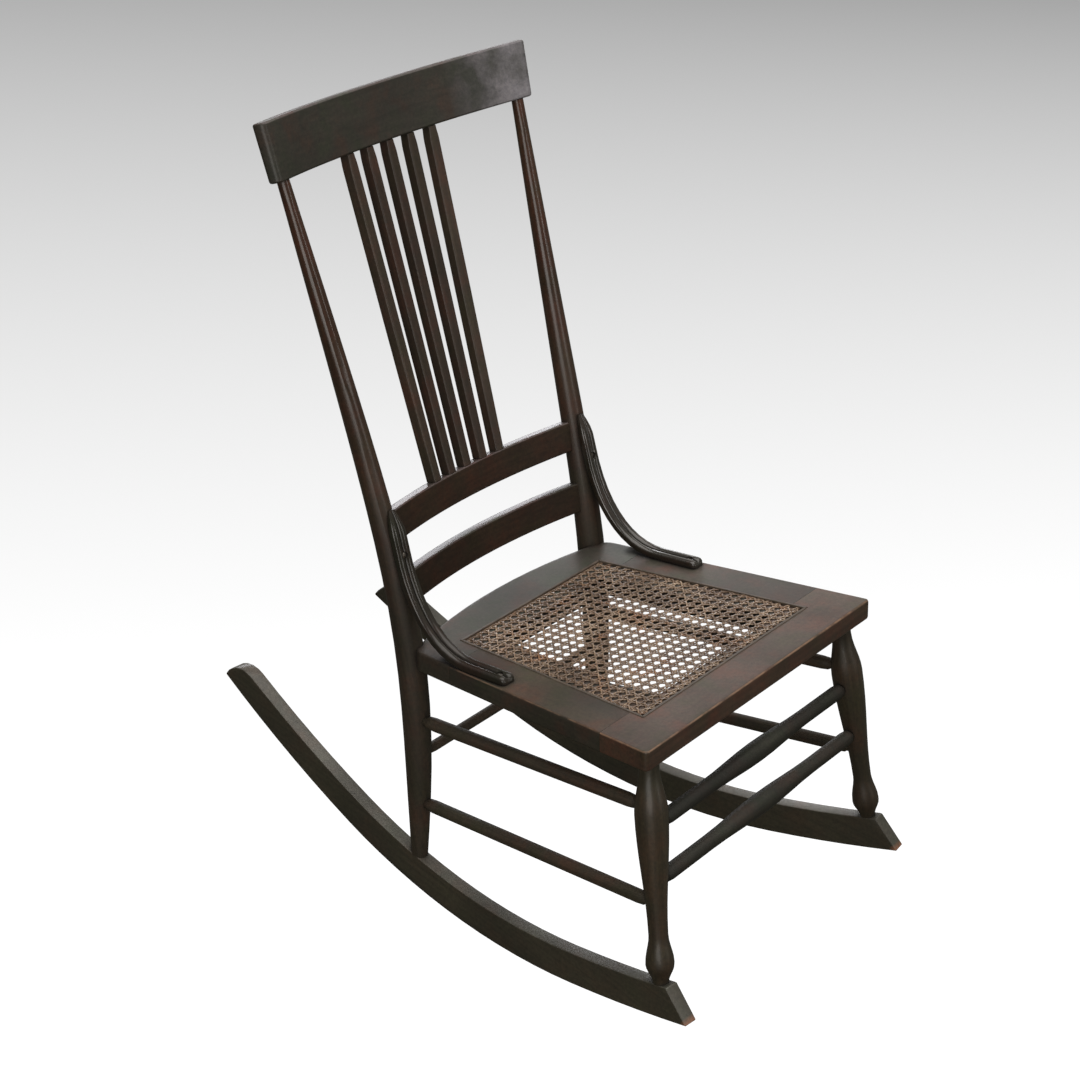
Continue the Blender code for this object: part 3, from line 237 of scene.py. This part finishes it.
# Bare wood at the lower front corner of the rockers
TIP_TONE = (0.250, 0.105, 0.055)
TIP_PLACE = Vector((0, -0.3945, 0.1020))
TIP_AXES = (0, 1, 1)  # the distance counts in side view
TIP_REACH = 0.0075
TIP_PATCH = (0.3, 0.6, 0.5, 1.0)

# Painted sheen: a hazy light patch that paints a reflection at one end of the crest, by the distance from its
# middle
PAINTED_SHEEN_TONE = (0.200, 0.192, 0.212)
PAINTED_SHEEN_RUN = (0.100, 0.225)
PAINTED_SHEEN_PATCH = (0.36, 0.62, 0.22, 1.0)

# Redder and glossier tops of the posts, by the distance from their middle
REDDER_RUN = (-0.10, 0.22)
REDDER_TINTS = [(0.0, (0.78, 0.94, 0.90)), (1.0, (1.18, 0.95, 0.88))]
DULL_ROUGH = 0.62


def wood(name, dark, light, rough, coat, film, film_tone, top_rough=None, gleam=0.34, hue=1.0,
         pores=0.12, open_from=OPEN_FROM, wear=0.0, painted_sheen=False, redden=False, bare_tip=False):
    """Stained and varnished wood with its grain along the piece, and a film of dust and painted sheen where
    it faces up.

    film is the share of dust and painted sheen on top faces, gleam the specular level, hue the strength of
    red and green blotches, pores the strength of the grain's relief and wear the strength of the scuffs on
    edges.
    """
    made, tree, body = material(name)
    place = own_place(tree)
    run = put(tree, "ShaderNodeSeparateXYZ", {0: place}).outputs["Z"]
    piece = put(tree, "ShaderNodeObjectInfo").outputs["Random"]
    slide = put(tree, "ShaderNodeCombineXYZ", {0: piece, 1: piece, 2: piece}).outputs["Vector"]
    spot = vectors(tree, "ADD", place, slide)
    stretched = put(tree, "ShaderNodeMapping", {"Vector": spot, "Scale": GRAIN_STRETCH}).outputs["Vector"]
    normal = put(tree, "ShaderNodeNewGeometry").outputs["Normal"]
    upward = put(tree, "ShaderNodeSeparateXYZ", {0: normal}).outputs["Z"]
    grain = noise(tree, stretched, 1.0, detail=5.0, rough=0.62, distortion=0.3)
    blotch = noise(tree, spot, BLOTCH_SCALE, detail=4.0, rough=0.6)
    cloud = noise(tree, spot, CLOUD_SCALE, detail=2.0, rough=0.5)
    mottle = noise(tree, spot, MOTTLE_SCALE, detail=6.0, rough=0.8)
    free = openness(tree, CREASE)

    base = ramp(tree, grain, list(zip(GRAIN_STOPS, (dark, light))))
    # Film of dust and painted sheen on faces that look up, kept out of sheltered spots
    film_where_open = spread(tree, free, open_from - FILM_FADE, open_from)
    film_facing_up = times(tree, spread(tree, upward, *FILM_FACING), film_where_open)
    dust_and_sheen = times(tree, film_facing_up, spread(tree, cloud, *FILM_CLOUD, film * FILM_THINNEST, film))
    base = blend(tree, dust_and_sheen, base, film_tone)
    base = tinted(tree, base, blotch, BLOTCH_TINTS, hue)
    base = tinted(tree, base, cloud, CLOUD_SHADES)
    # Painted sheen: a reflection painted as a pale haze towards the crest's end
    if painted_sheen:
        painted_sheen_share = times(tree, spread(tree, run, *PAINTED_SHEEN_RUN), spread(tree, blotch, *PAINTED_SHEEN_PATCH))
        base = blend(tree, painted_sheen_share, base, PAINTED_SHEEN_TONE)
    base = tinted(tree, base, mottle, MOTTLE_SHADES)
    if redden:
        base = tinted(tree, base, spread(tree, run, *REDDER_RUN), REDDER_TINTS)
    if wear:
        level = vectors(tree, "DOT_PRODUCT", normal, SEAT_UP)
        edge = times(tree, spread(tree, level, *EDGE_TOP), spread(tree, level, *EDGE_SIDE))
        scratches = noise(tree, spot, SCUFF_SCALE, detail=4.0, rough=0.65)
        scuff = spread(tree, scratches, *SCUFF_PATCH, 0.0, wear)
        base = blend(tree, times(tree, edge, scuff), base, WORN_TONE)
    if bare_tip:
        point = put(tree, "ShaderNodeTexCoord").outputs["Object"]
        offset = vectors(tree, "MULTIPLY", vectors(tree, "SUBTRACT", point, TIP_PLACE), TIP_AXES)
        near = spread(tree, vectors(tree, "LENGTH", offset), TIP_REACH, 0.0)
        base = blend(tree, times(tree, near, spread(tree, mottle, *TIP_PATCH)), base, TIP_TONE)
    # Painted shade: darker where little is open around a spot, in corners, between parts and under the cane
    painted_shade = spread(tree, free, open_from - CREASE_SHADE_FADE, open_from, CREASE_SHADE_SHARE, 0.0)
    base = blend(tree, painted_shade, base, CREASE_SHADE_TONE)
    tree.links.new(base, body.inputs["Base Color"])

    if redden:
        gloss = spread(tree, run, *REDDER_RUN, DULL_ROUGH, rough)
    else:
        gloss = spread(tree, upward, *TOP_FACING, rough, top_rough or rough)
    gloss = spread(tree, free, open_from - GLOSS_FADE, open_from, 1.0, gloss)
    tree.links.new(gloss, body.inputs["Roughness"])

    relief = {"Strength": UNEVEN, "Distance": UNEVEN_DEPTH, "Height": blotch}
    facing = put(tree, "ShaderNodeBump", relief).outputs["Normal"]
    if pores:
        relief = {"Strength": pores, "Distance": PORE_DEPTH, "Height": grain, "Normal": facing}
        facing = put(tree, "ShaderNodeBump", relief).outputs["Normal"]
    tree.links.new(facing, body.inputs["Normal"])
    body.inputs["Specular IOR Level"].default_value = gleam
    body.inputs["Coat Weight"].default_value = coat
    body.inputs["Coat Roughness"].default_value = COAT_ROUGH
    return made


rocker = wood(
    "rocker_wood", dark=(0.0235, 0.0206, 0.0138), light=(0.0412, 0.0350, 0.0238), rough=0.42, top_rough=0.34,
    coat=0.06, film=0.95, film_tone=GREEN_DUST_AND_SHEEN, hue=0.35, pores=0, bare_tip=True)
# The crest's pale film also paints a light line along its top edge, a painted highlight
crest = wood(
    "crest_wood", dark=(0.0172, 0.0156, 0.0121), light=(0.0308, 0.0270, 0.0210), rough=0.46, top_rough=0.66,
    coat=0.05, film=0.55, film_tone=PALE_DUST_AND_SHEEN, painted_sheen=True)
rail = wood(
    "rail_wood", dark=(0.0135, 0.0074, 0.0040), light=(0.0270, 0.0152, 0.0086), rough=0.56, top_rough=0.24,
    coat=0.0, film=0.50, film_tone=PALE_DUST_AND_SHEEN, gleam=0.20, pores=0)
seat_front = wood(
    "seat_front_wood", dark=(0.029, 0.016, 0.010), light=(0.058, 0.032, 0.020), rough=0.44,
    coat=0.0, film=0.54, film_tone=PURPLE_DUST_AND_SHEEN, wear=0.9, open_from=UNDER_CANE)
seat_right = wood(
    "seat_side_wood", dark=(0.018, 0.0150, 0.0110), light=(0.032, 0.0258, 0.0190), rough=0.44,
    coat=0.0, film=0.55, film_tone=BROWN_DUST_AND_SHEEN, wear=0.5, open_from=UNDER_CANE)
seat_left = wood(
    "seat_left_wood", dark=(0.018, 0.0150, 0.0110), light=(0.032, 0.0258, 0.0190), rough=0.44,
    coat=0.0, film=0.64, film_tone=PURPLE_DUST_AND_SHEEN, wear=0.4, open_from=UNDER_CANE)
seat_back = wood(
    "seat_back_wood", dark=(0.018, 0.0150, 0.0110), light=(0.032, 0.0258, 0.0190), rough=0.40,
    coat=0.0, film=0.53, film_tone=GREEN_DUST_AND_SHEEN, open_from=UNDER_CANE)
post = wood(
    "post_wood", dark=(0.021, 0.0122, 0.0076), light=(0.044, 0.0252, 0.0160), rough=0.22,
    coat=0.08, film=0.10, film_tone=PURPLE_DUST_AND_SHEEN, redden=True)
outer_slat = wood(
    "outer_slat_wood", dark=(0.0250, 0.0160, 0.0106), light=(0.0450, 0.0285, 0.0188), rough=0.46,
    coat=0.06, film=0.10, film_tone=PURPLE_DUST_AND_SHEEN)
slat = wood(
    "slat_wood", dark=(0.0188, 0.0114, 0.0074), light=(0.034, 0.0204, 0.0132), rough=0.46,
    coat=0.06, film=0.10, film_tone=PURPLE_DUST_AND_SHEEN)
leg = wood(
    "leg_wood", dark=(0.0165, 0.0125, 0.0072), light=(0.0365, 0.0262, 0.0152), rough=0.44,
    coat=0.08, film=0.15, film_tone=PURPLE_DUST_AND_SHEEN, hue=0.7, pores=0)
front_bar = wood(
    "front_bar_wood", dark=(0.0070, 0.0066, 0.0043), light=(0.0165, 0.0145, 0.0093), rough=0.62,
    coat=0.0, film=0.18, film_tone=GREEN_DUST_AND_SHEEN, pores=0)
side_bar = wood(
    "side_bar_wood", dark=(0.0200, 0.0150, 0.0096), light=(0.0440, 0.0320, 0.0208), rough=0.60,
    coat=0.0, film=0.15, film_tone=BROWN_DUST_AND_SHEEN, pores=0)
right_brace = wood(
    "near_brace_wood", dark=(0.0085, 0.0070, 0.0050), light=(0.0180, 0.0138, 0.0094), rough=0.20,
    coat=0.25, film=0.06, film_tone=PURPLE_DUST_AND_SHEEN, gleam=0.24, pores=0)
left_brace = wood(
    "brace_wood", dark=(0.0090, 0.0072, 0.0052), light=(0.0190, 0.0142, 0.0100), rough=0.17,
    coat=0.55, film=0.06, film_tone=PURPLE_DUST_AND_SHEEN, pores=0)


# Cane, spline and screws

CANE_SHADES = [(0.0, (0.132, 0.084, 0.056)), (0.5, (0.212, 0.145, 0.100)), (1.0, (0.335, 0.255, 0.188))]
CANE_ROUGH = (0.34, 0.22)  # from the darkest strand to the lightest
# Painted shade where the strands cross and hide one another
CANE_CREASE = 0.003
CANE_CREASE_SHADE_TONE = (0.030, 0.017, 0.010)
CANE_OPEN = (0.25, 0.85)  # openness from a hidden spot to a free one
CANE_CREASE_SHADE_SHARE = 0.75
FIBRE_SCALE = 1500.0
FIBRE_RISE = 0.2
FIBRE_DEPTH = 0.0001
PATCH_RANGE = (0.3, 0.7)

# Scale, detail, roughness and shades of the cane's patches, stains and fibres
CANE_LAYERS = [
    (14.0, 4.0, 0.6, [(0.30, (0.55, 0.50, 0.46)), (0.70, (1.22, 1.18, 1.12))]),
    (34.0, 3.0, 0.55, [(0.56, (1.0, 1.0, 1.0)), (0.72, (1.15, 0.84, 0.62))]),
    (600.0, 3.0, 0.7, [(0.32, (0.45, 0.42, 0.40)), (0.68, (1.4, 1.4, 1.4))]),
]


def cane_material():
    """Aged cane, each strand its own tone, stained in patches, with painted shade where strands hide one
    another.
    """
    made, tree, body = material("cane")
    place = put(tree, "ShaderNodeTexCoord").outputs["Object"]
    shade = put(tree, "ShaderNodeAttribute", attribute_name=STRAND).outputs["Fac"]
    base = ramp(tree, shade, CANE_SHADES)
    for scale, detail, rough, shades in CANE_LAYERS:
        base = tinted(tree, base, noise(tree, place, scale, detail, rough), shades)
    # Painted shade: darker where the strands hide one another
    painted_shade = spread(tree, openness(tree, CANE_CREASE), *CANE_OPEN, CANE_CREASE_SHADE_SHARE, 0.0)
    base = blend(tree, painted_shade, base, CANE_CREASE_SHADE_TONE)
    tree.links.new(base, body.inputs["Base Color"])
    tree.links.new(spread(tree, shade, 0.0, 1.0, *CANE_ROUGH), body.inputs["Roughness"])
    fibres = noise(tree, place, FIBRE_SCALE, detail=2.0, rough=0.6)
    relief = {"Strength": FIBRE_RISE, "Distance": FIBRE_DEPTH, "Height": fibres}
    facing = put(tree, "ShaderNodeBump", relief).outputs["Normal"]
    tree.links.new(facing, body.inputs["Normal"])
    return made


def patchy(name, scale, tones, rough, metallic=0.0):
    """Material whose tone and roughness change in patches between two values."""
    made, tree, body = material(name)
    patch = noise(tree, own_place(tree), scale, detail=4.0, rough=0.6)
    base = ramp(tree, patch, list(zip(PATCH_RANGE, tones)))
    tree.links.new(base, body.inputs["Base Color"])
    tree.links.new(spread(tree, patch, *PATCH_RANGE, *rough), body.inputs["Roughness"])
    body.inputs["Metallic"].default_value = metallic
    return made


cane = cane_material()
spline = patchy("spline", 70.0, ((0.034, 0.025, 0.018), (0.094, 0.069, 0.050)), (0.4, 0.6))
steel = patchy("dark_steel", 400.0, ((0.10, 0.085, 0.07), (0.34, 0.31, 0.28)), (0.25, 0.5), metallic=1.0)

# Which material goes on which piece: the first pattern that fits the name counts
FINISHES = [
    ("*screw*", steel),
    ("*spline*", spline),
    ("right_brace", right_brace),
    ("left_brace", left_brace),
    ("seat_front_rail", seat_front),
    ("seat_back_rail", seat_back),
    ("seat_left_rail", seat_left),
    ("seat_right_rail", seat_right),
    ("*_back_rail", rail),
    ("*_front_stretcher", front_bar),
    ("*_stretcher", side_bar),
    ("*_leg", leg),
    ("crest_rail", crest),
    ("*_post", post),
    ("back_slat_[15]", outer_slat),
    ("back_slat_*", slat),
    ("*_rocker", rocker),
]


def finish_of(name):
    """Material of a piece."""
    return next(finish for pattern, finish in FINISHES if fnmatchcase(name, pattern))


# Pieces that stand for the CAD nodes, shaded smooth and with their grain along their own length


def long_axis(mesh):
    """Direction in which a piece is longest."""
    points = np.array([vert.co for vert in mesh.vertices])
    axis = Vector(np.linalg.svd(points - points.mean(axis=0), full_matrices=False)[2][0])
    return axis if sum(axis) > 0 else -axis


def smoothed(name, node):
    """Smooth copy of a CAD node, which replaces it."""
    mesh = node.data.copy()
    work = bmesh.new()
    work.from_mesh(mesh)
    bmesh.ops.remove_doubles(work, verts=work.verts, dist=MERGE_REACH)
    work.to_mesh(mesh)
    work.free()
    if "custom_normal" in mesh.attributes:
        mesh.attributes.remove(mesh.attributes["custom_normal"])
    mesh.shade_smooth()
    mesh.set_sharp_from_angle(angle=SHARP)
    low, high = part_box(name)
    turn = long_axis(mesh).to_track_quat("Z", "Y").to_matrix().to_4x4()
    to_piece = (Matrix.Translation((low + high) / 2) @ turn).inverted()
    along = mesh.attributes.new(ALONG, "FLOAT_VECTOR", "POINT")
    along.data.foreach_set("vector", [value for vert in mesh.vertices for value in to_piece @ vert.co])
    mesh.materials.clear()
    mesh.materials.append(finish_of(name))
    piece = bpy.data.objects.new(f"{name}_shown", mesh)
    scene.collection.objects.link(piece)
    weighted = piece.modifiers.new("weighted", "WEIGHTED_NORMAL")
    weighted.keep_sharp = True
    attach(piece, "root")
    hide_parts(name)


for name, node in nodes.items():
    if name != "cane_panel":
        smoothed(name, node)


# Cane weave: pairs both ways and single diagonals, which leave octagons

flat_points = [seat.inverted() @ vert.co for vert in nodes["cane_panel"].data.vertices]
weave_top = max(point.z for point in flat_points)
weave_front = min(point.y for point in flat_points)
weave_rear = max(point.y for point in flat_points)
front_half = max(abs(point.x) for point in flat_points if point.y < weave_front + CORNER_BAND)
rear_half = max(abs(point.x) for point in flat_points if point.y > weave_rear - CORNER_BAND)
weave_middle = (weave_front + weave_rear) / 2
origin = Vector((WEAVE_START.x, weave_middle + WEAVE_START.y))
half_gap = (CANE_WIDTH + PAIR_GAP) / 2


def inside_share(start, end):
    """Part of a line that lies in the caned area, as two shares of its length, or nothing."""
    low = 0.0
    high = 1.0
    way = end - start
    slope = (rear_half - front_half) / (weave_rear - weave_front)
    walls = [
        (Vector((0, 1)), weave_front),
        (Vector((0, -1)), -weave_rear),
        (Vector((-1, slope)), slope * weave_front - front_half),
        (Vector((1, slope)), slope * weave_front - front_half),
    ]
    for normal, limit in walls:
        speed = normal.dot(way)
        room = limit - normal.dot(start)
        if abs(speed) < PARALLEL:
            if room > 0:
                return None
        elif speed > 0:
            low = max(low, room / speed)
        else:
            high = min(high, room / speed)
    return (low, high) if high - low > SHORTEST_SHARE else None


weave_points = []
weave_faces = []
weave_shades = []
draw = random.Random(WEAVE_SEED)


def strand(start, end, marks, width):
    """One strip of cane: marks are (distance, rise) pairs along the line from start."""
    length = (end - start).length
    way = (end - start).normalized()
    share = inside_share(start, end)
    if not share:
        return
    low = share[0] * length
    high = share[1] * length
    kept = [(low, -CANE_TUCK), (low + TUCK_RUN, 0.0)]
    kept += [mark for mark in marks if low + TUCK_CLEAR < mark[0] < high - TUCK_CLEAR]
    kept += [(high - TUCK_RUN, 0.0), (high, -CANE_TUCK)]
    across = Vector((-way.y, way.x))
    start = start + across * draw.uniform(-CANE_STRAY, CANE_STRAY)
    width *= draw.uniform(*CANE_WIDTH_RANGE)
    shade = draw.random()
    first = len(weave_points)
    level = weave_top - CANE_THICK / 2 - DIAGONAL_WAVE
    for distance, rise in kept:
        spot = start + way * distance
        for side, lift in CANE_SECTION:
            flat = spot + across * side * width
            weave_points.append(seat @ Vector((flat.x, flat.y, level + rise + lift * CANE_THICK)))
            weave_shades.append(shade)
    sides = len(CANE_SECTION)
    for i in range(len(kept) - 1):
        ring = first + i * sides
        for j in range(sides):
            k = (j + 1) % sides
            weave_faces.append((ring + j, ring + sides + j, ring + sides + k, ring + k))
    last = first + (len(kept) - 1) * sides
    weave_faces.append(tuple(first + j for j in range(sides)))
    weave_faces.append(tuple(last + j for j in reversed(range(sides))))


def straight(axis):
    """Pairs of strands that run along one axis."""
    other = 1 - axis
    for i in range(-WEAVE_REACH, WEAVE_REACH):
        for side in (-1, 1):
            start = Vector((0, 0))
            start[axis] = origin[axis] - WEAVE_REACH * WEAVE_PITCH[axis]
            start[other] = origin[other] + (i + 0.5) * WEAVE_PITCH[other] + side * half_gap
            end = start.copy()
            end[axis] = origin[axis] + WEAVE_REACH * WEAVE_PITCH[axis]
            over = PLAIN_WAVE * side * (1 if axis else -1)
            marks = []
            for j in range(2 * WEAVE_REACH):
                cell = j * WEAVE_PITCH[axis]
                crossing = cell + WEAVE_PITCH[axis] / 2
                marks.append((cell, 0.0))
                marks.append((crossing - half_gap, over))
                marks.append((crossing + half_gap, -over))
            strand(start, end, marks, CANE_WIDTH)


def slanted(turn):
    """Single strands that run slanting, over one set of pairs and under the other."""
    step = Vector((WEAVE_PITCH.x, turn * WEAVE_PITCH.y))
    for i in range(-2 * WEAVE_REACH, 2 * WEAVE_REACH):
        start = origin + Vector(((i + 0.5) * WEAVE_PITCH.x, 0)) - step * WEAVE_REACH
        end = start + step * 2 * WEAVE_REACH
        marks = []
        for j in range(2 * WEAVE_REACH * DIAGONAL_MARKS):
            cells = j / DIAGONAL_MARKS
            marks.append((cells * step.length, turn * DIAGONAL_WAVE * math.cos(2 * math.pi * cells)))
        strand(start, end, marks, DIAGONAL_WIDTH)


straight(0)
straight(1)
slanted(1)
slanted(-1)
weave_mesh = bpy.data.meshes.new("cane_weave")
weave_mesh.from_pydata([tuple(point) for point in weave_points], [], weave_faces)
shades = weave_mesh.attributes.new(STRAND, "FLOAT", "POINT")
shades.data.foreach_set("value", weave_shades)
weave_mesh.shade_smooth()
weave_mesh.materials.append(cane)
weave = bpy.data.objects.new("cane_weave", weave_mesh)
scene.collection.objects.link(weave)
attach(weave, "root")
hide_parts("cane_panel")


# Floor and backdrop in one plane, darker towards the back

def floor_material():
    """White that gives its own light and takes none, so that no shadow falls on it."""
    made, tree, body = material("backdrop")
    place = put(tree, "ShaderNodeTexCoord").outputs["Object"]
    away = vectors(tree, "DOT_PRODUCT", place, FLOOR_WAY)
    tone = spread(tree, away, 0.0, FLOOR_FAR, FLOOR_NEAR, FLOOR_NEAR - FLOOR_FAR * FLOOR_FALL)
    body.inputs["Base Color"].default_value = (0.0, 0.0, 0.0, 1.0)
    body.inputs["Roughness"].default_value = 1.0
    body.inputs["Specular IOR Level"].default_value = 0.0
    body.inputs["Emission Color"].default_value = (1.0, 1.0, 1.0, 1.0)
    tree.links.new(tone, body.inputs["Emission Strength"])
    made.cycles.emission_sampling = "NONE"
    return made


floor_mesh = bpy.data.meshes.new("floor")
ways = ((-1, -1), (1, -1), (1, 1), (-1, 1))
floor_mesh.from_pydata([(x * FLOOR_REACH, y * FLOOR_REACH, 0) for x, y in ways], [], [(0, 1, 2, 3)])
floor_mesh.materials.append(floor_material())
floor = bpy.data.objects.new("floor", floor_mesh)
scene.collection.objects.link(floor)
floor.visible_glossy = False
floor.visible_diffuse = False


# Light

def softbox(name, place, target, size, watts, tone=LAMP_TONE):
    """Rectangular lamp that looks at its target and is not seen itself."""
    lamp = bpy.data.lights.new(name, "AREA")
    lamp.shape = "RECTANGLE"
    lamp.size = size[0]
    lamp.size_y = size[1]
    lamp.energy = watts
    lamp.color = tone
    box = bpy.data.objects.new(name, lamp)
    box.location = place
    box.rotation_euler = (Vector(place) - Vector(target)).to_track_quat("Z", "Y").to_euler()
    box.visible_camera = False
    scene.collection.objects.link(box)


softbox("top_light", place=(0.2, 0.3, 3.0), target=(0, 0, 0.4), size=(3.0, 3.0), watts=66)
softbox("back_panel", place=(2.97, 1.45, 1.35), target=(0, 0, 0.4), size=(1.9, 1.5), watts=7)
softbox(
    "low_strip", place=(1.58, 1.79, 0.30), target=(0, 0.25, 0.47), size=(2.0, 0.30), watts=10, tone=COOL_TONE)
softbox("post_strip", place=(0.45, -2.7, 2.0), target=(0, 0, 0.65), size=(0.16, 1.0), watts=6)
softbox("crest_panel", place=(0.90, -2.55, 1.38), target=(0.2, 0.1, 0.8), size=(0.65, 0.80), watts=5)
softbox("side_fill", place=(-2.4, -1.2, 1.2), target=(0, 0, 0.4), size=(1.6, 1.6), watts=34)

world = bpy.data.worlds.new("studio")
world.use_nodes = True
scene.world = world
sky = world.node_tree
look = put(sky, "ShaderNodeTexCoord").outputs["Generated"]
height = put(sky, "ShaderNodeSeparateXYZ", {0: look}).outputs["Z"]
glow = ramp(sky, spread(sky, height, -1.0, 1.0), SKY_TONES)
sky.links.new(glow, sky.nodes["Background"].inputs["Color"])
sky.nodes["Background"].inputs["Strength"].default_value = 1.0

scene.view_settings.view_transform = "Standard"
scene.view_settings.look = "None"


# Camera

back = Vector((
    math.sin(CAMERA_AZIMUTH) * math.cos(CAMERA_ELEVATION),
    -math.cos(CAMERA_AZIMUTH) * math.cos(CAMERA_ELEVATION),
    math.sin(CAMERA_ELEVATION),
))
right = Vector((math.cos(CAMERA_AZIMUTH), math.sin(CAMERA_AZIMUTH), 0))
up = back.cross(right)
rolled_right = right * math.cos(CAMERA_ROLL) + up * math.sin(CAMERA_ROLL)
rolled_up = up * math.cos(CAMERA_ROLL) - right * math.sin(CAMERA_ROLL)
axes = Matrix((rolled_right, rolled_up, back)).transposed().to_4x4()
lens = bpy.data.cameras.new("camera")
lens.lens = CAMERA_LENS
lens.sensor_width = SENSOR
camera = bpy.data.objects.new("camera", lens)
scene.collection.objects.link(camera)
camera.matrix_world = chair @ Matrix.Translation(CAMERA_PLACE) @ axes
scene.camera = camera
